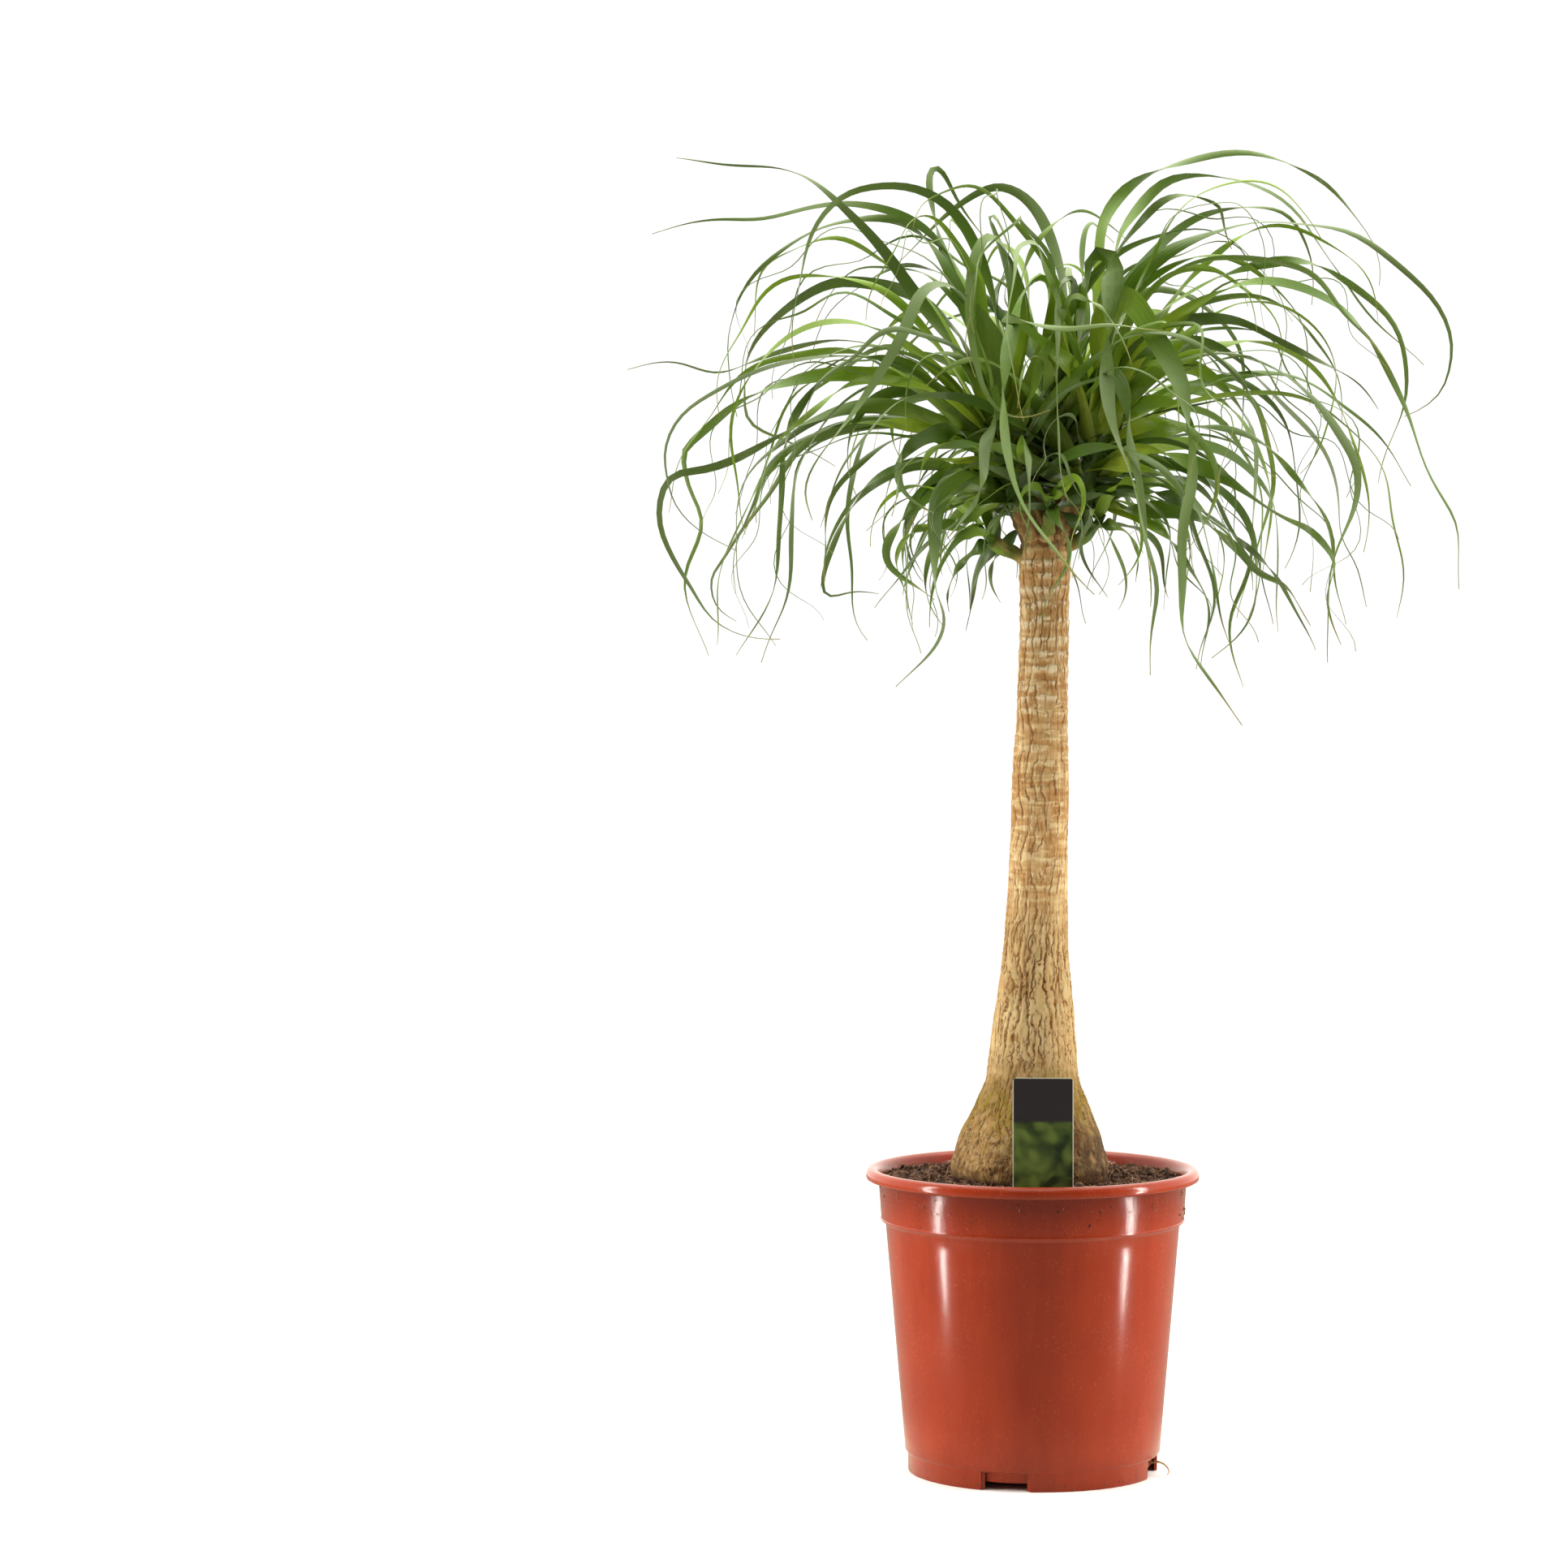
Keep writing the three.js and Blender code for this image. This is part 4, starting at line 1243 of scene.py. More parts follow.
@dataclass(frozen=True)
class Furrows:
    """A family of upright cracks, which lie where a wandering wave round the trunk is zero.

    pairs is how many pairs of them there are. wander, fine and jag are how far bumps of size mm,
    finer ones and the finest push them aside, and stretch draws those bumps out upwards. broken
    is the (size, stretch, seed) of the noise that breaks them up, and opens the noise at which
    they set in and are open. fade and bias weaken them above the low trunk. width is how far
    from its line a crack ends and is deep, in mm. at_foot tells whether they cover the foot.
    """

    pairs: int
    size: float
    wander: float
    fine: float
    seed: int
    stretch: float
    jag: float
    broken: Triple
    opens: Pair
    width: Pair
    depth: float = 1.0
    fade: float = 0.0
    bias: float = 0.0
    at_foot: bool = False


@dataclass
class Skin:
    """The trunk's bare surface, as arrays over its points, and the noise on it."""

    angle: np.ndarray
    height: np.ndarray
    radius: np.ndarray

    def bumps(
        self, size: float, stretch: float, seed: int, shift: np.ndarray | float = 0
    ) -> np.ndarray:
        """Noise of one bump size, stretched upwards.

        Args:
            size: how wide a bump is, in mm.
            stretch: how many times higher it is.
            seed: another seed gives other bumps.
            shift: how far it is moved sideways, in mm.

        Returns:
            The noise at each point.
        """
        turned = self.angle + shift / self.radius
        x, y = np.cos(turned) * self.radius, np.sin(turned) * self.radius
        spot = np.stack([x, y, self.height], axis=-1)
        return grain(spot / np.array([size, size, size * stretch]), seed)

    def away(self, values: np.ndarray) -> np.ndarray:
        """About how many mm each point lies to one side of the nearest line of zeros.

        Args:
            values: numbers at the points, which are zero along the lines.

        Returns:
            The distance at each point, at most 3 mm.
        """
        wide = 2 * self.radius * TURN / self.angle.shape[1]
        across = (np.roll(values, -1, 1) - np.roll(values, 1, 1)) / wide
        up = np.gradient(values, axis=0) / np.gradient(self.height, axis=0)
        return np.clip(values / (np.hypot(across, up) + 0.02), -3, 3)

    def lines(self, family: Furrows, shift: np.ndarray) -> tuple[np.ndarray, np.ndarray]:
        """Mm beside the nearest line of a family, and the place from one line to the next.

        Args:
            family: the cracks.
            shift: how far they are moved sideways, in mm.

        Returns:
            The distance at each point, and the place from 0 to 1.
        """
        bumps, seed, size = self.bumps, family.seed, family.size
        turn = family.pairs * self.angle + family.wander * bumps(size, family.stretch, seed, shift)
        turn += family.fine * bumps(size / 3.4, 1.9, seed + 1)
        turn += family.jag * bumps(2.3, 0.9, seed + 2)
        place = turn / math.pi
        return self.away(np.sin(turn)), place - np.floor(place)


@dataclass
class Trunk:
    """The swollen foot, the ringed and cracked trunk, and the stubs that carry the heads."""

    sides: int = 178
    hidden_rows: Triple = (205, 232, 6)  # below the soil: from, to, how many
    bark_rows: Triple = (234, 762, 1.1)  # above it: from, to, how far apart
    profile: tuple[Pair, ...] = (
        (205, 54), (220, 61), (235, 63.4), (248, 64), (263, 59.7), (276, 55.4), (289, 49),
        (303, 43), (316, 38.6), (336, 36), (369, 32.3), (402, 28.7), (435, 26), (501, 23.8),
        (567, 22.8), (602, 21.4), (650, 20.3), (710, 20), (738, 20.6), (752, 18.4), (762, 13),
    )
    lean: tuple[Pair, ...] = (
        (197, -1.3), (270, -1.3), (336, 0.7), (402, 2), (534, 6.3), (686, 9.6), (800, 10.6),
    )
    furrows: tuple[Furrows, ...] = (
        Furrows(9, 15, 2.6, 0.8, 1, 2.2, 0.3, (4.4, 3.4, 3), (-0.45, -0.1), (0.95, 0.3)),
        Furrows(13, 11, 2.0, 0.8, 31, 4.5, 0.44, (3.8, 4.2, 5), (-0.5, -0.05), (0.95, 0.25),
                fade=0.65, bias=0.45),
        Furrows(24, 7, 2.2, 1.0, 51, 3.4, 0.8, (3.4, 2.4, 6), (-0.1, 0.2), (0.8, 0.2),
                depth=0.85, fade=0.25),
        Furrows(26, 17, 3.4, 0.9, 41, 2.2, 0.25, (6, 3.2, 8), (-0.6, -0.1), (1.1, 0.3),
                at_foot=True),
    )
    lobes: int = 5
    lobe_depth: float = 0.035
    low_zone: Pair = (490, 400)  # heights where something sets in and where it is full
    top_zone: Pair = (575, 650)
    foot_zone: Pair = (350, 300)
    plain_zone: Pair = (560, 430)
    ring_height: float = 11.5
    stub_rows: int = 16
    stub_sides: int = 28
    finish: BarkFinish = BarkFinish()

    def relief(self, skin: Skin) -> tuple[np.ndarray, dict[str, np.ndarray]]:
        """The bark's relief over the smooth trunk.

        Args:
            skin: the smooth trunk's points.

        Returns:
            How far each point stands out, and the numbers that the finish reads.
        """
        bumps, height = skin.bumps, skin.height
        low, top = smooth(*self.low_zone, height), smooth(*self.top_zone, height)
        foot, ringed = smooth(*self.foot_zone, height), 1 - smooth(*self.plain_zone, height)
        bare = 1 - foot

        # Rings: the number of the one that a point lies in, and how far up it.
        warped = height + 2.6 * bumps(17, 1.2, 9) + 1.1 * bumps(6, 1, 10)
        place = warped / self.ring_height + 0.35 * np.sin(warped / 31)
        number, part = np.floor(place), place - np.floor(place)
        shift = (1.2 + 2.6 * top) * np.sin(number * 12.9898 + 4.1) * ringed

        # Cracks: each family's, and level ones across them.
        crack, gaps, places, opens = 0 * height, [], [], []
        for family in self.furrows:
            gap, between = skin.lines(family, shift)
            opened = smooth(*family.opens, bumps(*family.broken) + family.bias * (low - 1))
            opened = opened * (1 - family.fade + family.fade * low)
            deep = family.depth * smooth(*family.width, np.abs(gap)) * opened
            crack = np.maximum(crack, deep * (foot if family.at_foot else bare))
            gaps.append(gap)
            places.append(between)
            opens.append(opened)
        long_gap, dense_gap, short_gap, foot_gap = gaps
        long_place, dense_place, _, foot_place = places
        long_on, dense_on, short_on, foot_on = opens
        long_on, dense_on = long_on * bare, dense_on * bare
        cross = smooth(0.8, 0.2, np.abs(skin.away(bumps(9, 0.4, 24))))
        cross = cross * smooth(0.2, 0.5, bumps(6, 0.8, 25))
        crack = np.maximum(crack, 0.6 * cross * (0.5 + 0.5 * low))

        # Relief: tilted plates between the cracks, lumps, ring lips and grooves.
        stripe = bumps(15, 0.2, 14) + 0.5 * bumps(6, 0.3, 15)
        edge = np.minimum(part, 1 - part) * self.ring_height
        groove = smooth(1.0, 0.2, edge) * smooth(-0.1, 0.5, bumps(9, 0.7, 12)) * ringed
        lip = smooth(0.25, 0.8, part) * smooth(1.0, 0.88, part)
        flake = lip * top * smooth(0.0, 0.14, bumps(11, 0.6, 18) + 0.6 * bumps(3, 0.8, 19))
        flake = flake * smooth(0.3, 0.9, np.abs(long_gap))
        tilt = np.clip(3 * bumps(12, 2.5, 27), -1, 1)
        plates = 0.3 * (long_place - 0.5) * (1 - low) + 1.5 * (dense_place - 0.5) * low * bare
        lumps = 1.2 * bumps(19, 1.3, 26) + 0.7 * bumps(7, 1.4, 16)
        out = tilt * plates + foot * (lumps + 1.1 * tilt * (foot_place - 0.5))
        out += 0.22 * ringed * stripe + 0.45 * bumps(8, 4, 13) * bare + 0.14 * bumps(2.1, 1.6, 17)
        out += ringed * (0.35 * lip - 0.3 * groove) + 0.5 * flake - 0.3
        out -= crack * (0.45 + 0.75 * low + 0.3 * foot)

        # What the finish reads: a painted highlight on the ridge beside each crack, and the crisp
        # fissures.
        lit = smooth(0.08, 0.2, long_place) * smooth(0.5, 0.25, long_place) * long_on
        lit_low = smooth(0.1, 0.25, dense_place) * smooth(0.6, 0.3, dense_place) * dense_on * low
        lit = np.maximum(lit, lit_low * smooth(-0.2, 0.3, tilt))
        # rise adds the painted highlight of lit to the bark's own stripes and ring lips.
        rise = 0.38 + 0.34 * stripe * (1 - 0.5 * low) + 0.32 * lit + 0.18 * ringed * lip
        rise += 0.24 * bumps(9, 2.2, 21) + 0.2 * bumps(2.6, 3, 22) * (0.4 + 0.6 * low)
        crack = np.maximum(crack, 0.5 * groove) * smooth(-0.7, 0.15, bumps(1.9, 1.6, 28))
        return out, {
            "crack": crack, "rise": np.clip(rise, 0, 1), "flake": flake, "bud": 0 * out,
            "long_gap": long_gap, "long_on": long_on,
            "dense_gap": dense_gap, "dense_on": dense_on,
            "fine_gap": np.where(foot > 0.5, foot_gap, short_gap),
            "fine_on": np.maximum(
                foot_on * smooth(0.5, 0.8, foot), short_on * smooth(0.5, 0.2, foot)
            ),
        }

    def bole(self, shape: Shape) -> list[str]:
        """Adds the foot and trunk to the shape.

        Args:
            shape: where they are added.

        Returns:
            The names of the numbers that they carry.
        """
        heights = np.concatenate([np.linspace(*self.hidden_rows), np.arange(*self.bark_rows)])
        height, angle = np.meshgrid(heights, around(self.sides), indexing="ij")
        radius = read_smooth(self.profile, height)
        out, carried = self.relief(Skin(angle, height, radius))
        swell = np.clip((radius - 22) / 40, 0.12, 1)
        waves = np.sin(self.lobes * angle + height * 0.02)
        waves += 0.6 * np.sin(3 * angle - height * 0.045 + 1)
        full = radius * (1 + self.lobe_depth * swell * waves) + out
        lean = np.interp(heights, *np.array(self.lean).T)[:, None]
        rings = np.stack([np.cos(angle) * full + lean, np.sin(angle) * full, height], axis=-1)
        shape.add_rings(rings, **carried)
        return list(carried)

    def stub(self, shape: Shape, head: Head, carried: Sequence[str]) -> None:
        """Adds a branch stub, from inside the trunk's top to inside the foot of a head's core.

        Args:
            shape: where it is added.
            head: the head that it carries.
            carried: the names of the numbers that the trunk carries.
        """
        thin, green = (1, 0.2) if head.kind is Kind.BIG else (0.64, 1)
        start = np.array([np.interp(head.start, *np.array(self.lean).T), 0, head.start])
        end = np.array(head.base) + np.array(head.frame()[0]) * 8
        t = np.linspace(0, 1, self.stub_rows)
        path = start + (end - start) * t[:, None]
        rings_of_bark = np.abs(np.sin(t * math.pi * 4))
        radii = (head.stub[0] + (head.stub[1] - head.stub[0]) * t) * thin
        radii = radii + 0.9 * rings_of_bark**0.6
        rings = tube_rings(path, radii, self.stub_sides)
        away = (rings - path[:, None, :]) / radii[:, None, None]
        rough = 0.9 * grain(rings / 5, 21) + 0.5 * grain(rings / 2.2, 22)
        rings = rings + away * rough[..., None]
        bud = np.clip(smooth(0.3, 0.75, t)[:, None] + 0.4 * grain(rings / 5, 23), 0, 1) * green
        own = {"crack": smooth(0.3, 0.02, rings_of_bark)[:, None] * 0.6, "rise": 0.5, "bud": bud}
        shape.add_rings(rings, **{**dict.fromkeys(carried, 0.0), **own})

    def build(self) -> None:
        """Makes the trunk and gives it to the frame."""
        shape = Shape()
        carried = self.bole(shape)
        for head in HEADS.values():
            self.stub(shape, head, carried)
        hand_over(shape.show("trunk_bark"), ["trunk"], self.finish.material())


# ---- Leaves ----


@dataclass
class LeafLine:
    """A leaf's centreline, the direction across the blade at each point and its width."""

    points: list[Vector]
    across: list[Vector]
    width: float
    fresh: float = 0.12  # how bright and young it is, from 0 to 1


@dataclass(frozen=True)
class LeafRule:
    """How a leaf grows, hangs, sways, curls and twists. It is the rule of the part's source."""

    steps: int = 48
    golden_angle: float = 137.50776
    trunk_x: float = 8
    trunk_clear: float = 32
    trunk_top: float = 775
    eye_distance: float = 3750
    eye_height: float = 700
    laid_wider: float = 1.12
    shortest: float = 0.35

    def heading_at(self, points: Sequence[Vector], i: int) -> Vector:
        """The way a line goes at one of its points."""
        return (points[min(len(points) - 1, i + 1)] - points[max(0, i - 1)]).normalized()

    def grow(self, root: Vector, ahead: Vector, leaf: dict[str, float]) -> LeafLine:
        """Steps along a leaf that is pulled down by its own weight, swayed sideways and curled.

        Args:
            root: where it starts.
            ahead: the way it sets out.
            leaf: its drawn numbers.

        Returns:
            Its line.
        """
        up = Vector((0, 0, 1))
        point, heading = root.copy(), ahead.copy()
        side = heading.cross(up).normalized()
        track = [(point.copy(), heading.copy(), side.copy())]
        for j in range(self.steps):
            u = (j + 0.5) / self.steps
            face = side.cross(heading)
            fall = heading * heading.z - up
            sway = leaf["sway"] * 2 * u + 1.5 * u * math.sin(leaf["wave"] + 7 * u)
            turn = fall * (leaf["pull"] * (leaf["flex"] + 1) * u ** leaf["flex"])
            turn += side * sway - face * (leaf["curl"] * 3 * u * u)
            heading = (heading + turn / self.steps).normalized()
            side = (side - heading * side.dot(heading)).normalized()
            point = point + heading * (leaf["length"] / self.steps)
            off = math.hypot(point.x - self.trunk_x, point.y)
            if point.z < self.trunk_top and off < self.trunk_clear:
                point.x = self.trunk_x + (point.x - self.trunk_x) * self.trunk_clear / off
                point.y *= self.trunk_clear / off
            track.append((point.copy(), heading.copy(), side.copy()))
        across = []
        for i, (_, way, level) in enumerate(track):
            angle = leaf["roll"] + leaf["twist"] * (i / self.steps) ** 1.4
            across.append(level * math.cos(angle) + way.cross(level) * math.sin(angle))
        return LeafLine([step[0] for step in track], across, leaf["width"])

    def grown(self, head: Head, k: int, draw: Draw) -> LeafLine:
        """The k-th leaf of a head, from the outermost to the innermost.

        Args:
            head: the head that it grows in.
            k: its number, from 0.
            draw: the head's sequence of numbers.

        Returns:
            Its line, shortened where it would pass the head's floor, ceiling or reach.
        """
        axis, right, back = head.frame()
        rise = (k + 0.5) / head.count
        gap = math.radians(head.front_gap)
        off_front = (head.turn + k * math.radians(self.golden_angle)) % TURN - math.pi
        kept = gap + abs(off_front) * (math.pi - gap) / math.pi
        azimuth = math.copysign(kept, off_front) + draw.between(-0.2, 0.2) - math.pi / 2
        slant = head.spread * (1 - rise) ** 0.85 + head.open + draw.between(-8, 8)
        out = right * math.cos(azimuth) + back * math.sin(azimuth)
        ahead = axis * math.cos(math.radians(slant)) + out * math.sin(math.radians(slant))
        ahead.normalize()
        root = Vector(head.base) + axis * (head.core * (0.05 + 0.85 * rise))
        root += out * (head.radius * (1 - 0.55 * rise) * 0.35)
        swell = math.sin(math.pi * min(1, rise * 0.75 + 0.28))
        short, long = head.length
        leaf = {  # drawn in this order
            "length": short + (long - short) * (0.55 * swell + 0.45 * draw.next()),
            "width": draw.between(*head.width),
            "pull": draw.between(*head.pull) + 1.5 * rise,
            "flex": draw.between(0.4, 1.1),
            "sway": draw.between(-0.9, 0.9),
            "curl": draw.between(-0.4, 0.6) + (1.6 if draw.next() < 0.22 else 0),
            "roll": draw.between(-0.5, 0.5),
            "twist": draw.between(0.5, 2.8) * draw.sign(),
        }
        limits = (head.floor, head.ceiling, head.reach)
        floor, ceiling, reach = (draw.between(*limit) for limit in limits)
        leaf["wave"] = draw.angle()
        free = self.grow(root, ahead, leaf).points
        low, high = min(p.z for p in free), max(p.z for p in free)
        fit = min(
            1,
            (root.z - floor) / (root.z - low) if low < floor else 1,
            (ceiling - root.z) / (high - root.z) if high > ceiling else 1,
            reach / max(math.hypot(p.x - self.trunk_x, p.y) for p in free),
        )
        leaf["length"] *= max(self.shortest, fit)
        return self.grow(root, ahead, leaf)

    def laid(self, row: tuple, draw: Draw) -> LeafLine:
        """A leaf along a smooth curve through its bends, from a root on its head's core.

        Args:
            row: the leaf's row of LAID_LEAVES.
            draw: the laid leaves' sequence of numbers.

        Returns:
            Its line.
        """
        head_name, depth, width, way = row
        head = HEADS[head_name]
        axis, base = head.frame()[0], Vector(head.base)
        first = Vector((way[0], 0, way[1])) - base - axis * (head.core / 2)
        first.y = 0
        slope = first.angle(Vector((axis.x, 0, axis.z))) / (math.pi / 2)
        root = base + axis * (head.core * min(0.9, max(0.1, 0.9 - 0.75 * slope)))
        bends = [root]
        seen = list(zip(way[::2], way[1::2], strict=True))
        for i, (x, z) in enumerate(seen):
            y = root.y + (depth - root.y) * ((i + 1) / len(seen)) ** 0.8
            near = (self.eye_distance + y) / self.eye_distance
            bends.append(Vector((x * near, y, self.eye_height + (z - self.eye_height) * near)))
        points = self.evenly(self.spline(bends))
        swing, phase, waves = draw.between(0.35, 0.95), draw.angle(), draw.between(0.6, 1.3)
        across = []
        for i in range(len(points)):
            heading = self.heading_at(points, i)
            level = heading.cross(Vector((0, 1, 0))).normalized()
            angle = swing * math.sin(phase + waves * TURN * i / self.steps)
            across.append(level * math.cos(angle) + heading.cross(level) * math.sin(angle))
        return LeafLine(points, across, width * self.laid_wider)

    @staticmethod
    def spline(bends: Sequence[Vector], per_span: int = 12) -> list[Vector]:
        """A cubic B-spline that starts at the first bend and ends at the last.

        Args:
            bends: the points that pull it along.
            per_span: how many points it gets between two bends.

        Returns:
            Dense points along it.
        """
        control = [bends[0] * 2 - bends[1], *bends, bends[-1] * 2 - bends[-2]]
        points = []
        for span, j in itertools.product(range(len(bends) - 1), range(per_span)):
            u = j / per_span
            weights = (
                (1 - u) ** 3, 3 * u**3 - 6 * u * u + 4, -3 * u**3 + 3 * u * u + 3 * u + 1, u**3
            )
            terms = zip(control[span : span + 4], weights, strict=True)
            points.append(sum((bend * (w / 6) for bend, w in terms), Vector((0, 0, 0))))
        return [*points, bends[-1].copy()]

    def evenly(self, points: Sequence[Vector]) -> list[Vector]:
        """The same line with its points spaced evenly.

        Args:
            points: the line.

        Returns:
            One point more than a leaf has steps.
        """
        spans = ((b - a).length for a, b in itertools.pairwise(points))
        lengths = list(itertools.accumulate(spans, initial=0.0))
        even = np.linspace(0, lengths[-1], self.steps + 1)
        spaced = []
        for place in np.interp(even, lengths, np.arange(len(points))):
            i = min(len(points) - 2, int(place))
            spaced.append(points[i].lerp(points[i + 1], place - i))
        return spaced


# The leaves that give the crown its outline: the head each grows from, how far back its tip lies,
# its width, and the way it goes, as x and z from one bend to the next against the plane of the
# pot's axis.
LAID_LEAVES = (
    ("left", -70, 9, (-40, 870, -75, 925, -105, 970, -130, 1000, -160, 1035, -190, 1055, -230, 1060,
     -290, 1065)),
    ("left", 100, 8, (-35, 890, -50, 965, -80, 1005, -115, 1025, -150, 1030, -185, 1025, -220, 1015,
     -250, 1015, -285, 1015, -310, 1005)),
    ("left", -100, 8, (-20, 890, -35, 965, -55, 1020, -90, 1040, -120, 1045, -150, 1040, -170, 1020,
     -185, 995, -190, 960, -195, 925, -195, 895)),
    ("left", 155, 9, (-35, 880, -60, 930, -100, 960, -140, 965, -165, 965, -195, 950, -220, 925,
     -235, 900, -235, 880, -235, 850, -210, 840, -160, 815)),
    ("left", 70, 7, (-35, 900, -60, 965, -90, 1005, -115, 1020, -150, 1015, -185, 1005, -215, 985,
     -235, 960, -245, 935, -250, 915, -245, 885, -240, 855)),
    ("left", -185, 5, (-55, 860, -95, 895, -140, 905, -180, 905, -215, 895, -255, 880, -285, 860,
     -300, 830, -300, 810, -295, 785, -275, 765, -240, 745)),
    ("left", 240, 6, (-55, 870, -105, 910, -160, 920, -205, 910, -235, 895, -260, 890, -290, 900,
     -315, 900, -330, 895)),
    ("left", -120, 8, (-55, 840, -105, 865, -150, 865, -190, 850, -230, 825, -270, 810, -295, 810,
     -305, 785, -305, 760, -290, 735, -275, 715, -265, 690, -240, 675, -205, 675)),
    ("left", -170, 8, (-60, 850, -105, 890, -150, 875, -175, 840, -195, 810, -195, 780, -195, 750,
     -200, 705, -210, 680, -220, 655)),
    ("left", -50, 8, (-85, 890, -130, 910, -170, 895, -195, 855, -205, 815, -205, 775, -205, 740,
     -210, 715, -225, 685, -240, 660)),
    ("left", -35, 9, (-40, 810, -65, 815, -95, 820, -115, 810, -130, 800, -145, 785, -160, 760,
     -170, 730, -170, 710, -160, 710, -145, 715, -125, 710)),
    ("left", -85, 12, (-40, 835, -60, 845, -85, 840, -105, 830, -110, 810, -105, 795, -90, 780,
     -80, 775)),
    ("left", -155, 11, (-40, 800, -60, 805, -75, 790, -80, 770, -80, 740, -80, 715, -70, 695,
     -75, 675, -90, 655, -110, 635)),
    ("left", -15, 13, (-40, 810, -60, 810, -80, 800, -100, 780, -115, 760, -120, 740, -110, 725,
     -80, 705)),
    ("left", -170, 12, (-25, 885, -30, 855, -40, 830, -40, 800, -50, 775, -70, 755)),
    ("left", 85, 8, (-75, 855, -115, 850, -150, 850, -175, 840, -195, 825, -210, 800, -230, 770,
     -255, 735, -265, 725, -260, 700, -240, 690)),
    ("left", 15, 9, (-95, 885, -140, 890, -185, 890, -235, 870, -260, 850, -285, 830, -285, 820,
     -280, 795, -265, 770, -280, 740, -285, 715, -265, 660)),
    ("right", 205, 9, (55, 980, 55, 1015, 75, 1040, 100, 1055, 130, 1065, 180, 1070, 210, 1060,
     235, 1045, 255, 1025, 275, 1000, 280, 975, 280, 960)),
    ("right", 155, 8, (65, 980, 70, 1005, 85, 1025, 105, 1045, 130, 1050, 160, 1050, 195, 1035,
     220, 1015, 235, 990, 255, 955, 280, 930, 315, 895)),
    ("right", -35, 12, (55, 950, 65, 990, 85, 1010, 105, 1030, 125, 1035, 145, 1030, 155, 1025,
     155, 1005, 160, 990)),
    ("right", 100, 8, (60, 940, 80, 970, 105, 995, 130, 1015, 155, 1025, 180, 1025, 205, 1020,
     220, 1000, 230, 975, 225, 945)),
    ("right", -100, 9, (60, 925, 85, 970, 115, 995, 150, 1005, 190, 1015, 225, 1010, 255, 1005,
     290, 985, 320, 955, 340, 920, 340, 895, 330, 870, 300, 855)),
    ("right", 35, 9, (75, 915, 115, 950, 160, 975, 195, 980, 225, 980, 255, 965, 285, 940, 300, 915,
     305, 885, 300, 860, 285, 830, 280, 800)),
    ("right", -155, 9, (65, 920, 95, 960, 130, 980, 170, 985, 200, 980, 230, 970, 250, 940,
     270, 920, 290, 890)),
    ("right", -100, 10, (70, 890, 100, 925, 130, 935, 165, 935, 190, 920, 215, 910, 240, 895,
     265, 880, 280, 860)),
    ("right", -255, 14, (50, 920, 70, 960, 90, 940, 105, 910, 120, 885, 125, 855, 130, 810,
     125, 780, 120, 735, 120, 695, 125, 670, 145, 635, 170, 605)),
    ("back", -220, 15, (40, 920, 45, 965, 50, 985, 65, 985, 65, 950, 60, 905, 60, 875, 65, 845,
     75, 815, 85, 790, 100, 725, 100, 700, 95, 645)),
    ("back", -240, 13, (20, 915, 15, 955, 10, 970, -5, 960, -15, 935, -20, 910, -25, 870, -25, 840,
     -15, 805, 0, 765, 25, 740, 50, 710)),
    ("back", -205, 7, (35, 925, 35, 960, 30, 970, 20, 955, 20, 915, 20, 865, 20, 820, 30, 785)),
    ("back", -170, 11, (50, 880, 60, 895, 70, 885, 80, 860, 80, 825, 85, 805, 95, 750, 95, 700)),
    ("right", -170, 8, (75, 900, 125, 945, 185, 970, 240, 955, 280, 910, 300, 865, 310, 835,
     325, 800, 335, 780, 345, 760, 345, 715)),
    ("right", -120, 11, (65, 815, 90, 830, 120, 820, 150, 810, 170, 795, 190, 780, 210, 770,
     225, 765, 240, 745, 245, 730, 235, 710, 250, 670)),
    ("right", -70, 11, (75, 775, 105, 780, 135, 775, 150, 760, 170, 745, 180, 725, 205, 720,
     215, 705, 225, 685)),
    ("right", 100, 9, (75, 880, 120, 905, 160, 875, 180, 845, 180, 815, 180, 775, 175, 725,
     160, 695, 160, 660, 170, 635)),
    ("right", -185, 10, (75, 875, 125, 910, 185, 905, 225, 875, 250, 840, 265, 815, 260, 780,
     250, 755, 235, 710, 240, 655)),
    ("right", 50, 10, (75, 890, 130, 925, 175, 895, 210, 855, 240, 825, 250, 790, 245, 755,
     265, 735, 270, 700)),
    ("left", 100, 11, (-35, 890, -60, 960, -80, 1005, -85, 1045, -80, 1060, -70, 1050, -60, 1030,
     -40, 1000)),
    ("back", 100, 12, (30, 935, 25, 975, 15, 1002, 0, 1028, -20, 1043, -38, 1042, -56, 1030,
     -80, 1010, -110, 980)),
    ("back", 135, 10, (45, 925, 40, 975, 40, 1010, 50, 1015, 55, 1005, 65, 995)),
    ("left", -100, 12, (-5, 915, -14, 965, -24, 998, -38, 1004, -48, 985, -52, 950, -50, 912,
     -42, 878, -26, 858, -4, 853, 15, 860)),
    ("left", -155, 12, (-20, 890, -40, 935, -65, 965, -90, 960, -100, 935, -115, 900, -145, 860,
     -170, 825, -190, 795, -180, 770)),
    ("left", -35, 12, (-10, 915, -20, 975, -31, 1008, -37, 1021, -28, 1018, -16, 990, -7, 960,
     -5, 925)),
    ("back", -270, 10, (45, 880, 20, 910, -15, 935, -30, 935, 5, 930, 40, 925, 75, 930, 105, 925)),
)


# ---- Crown ----


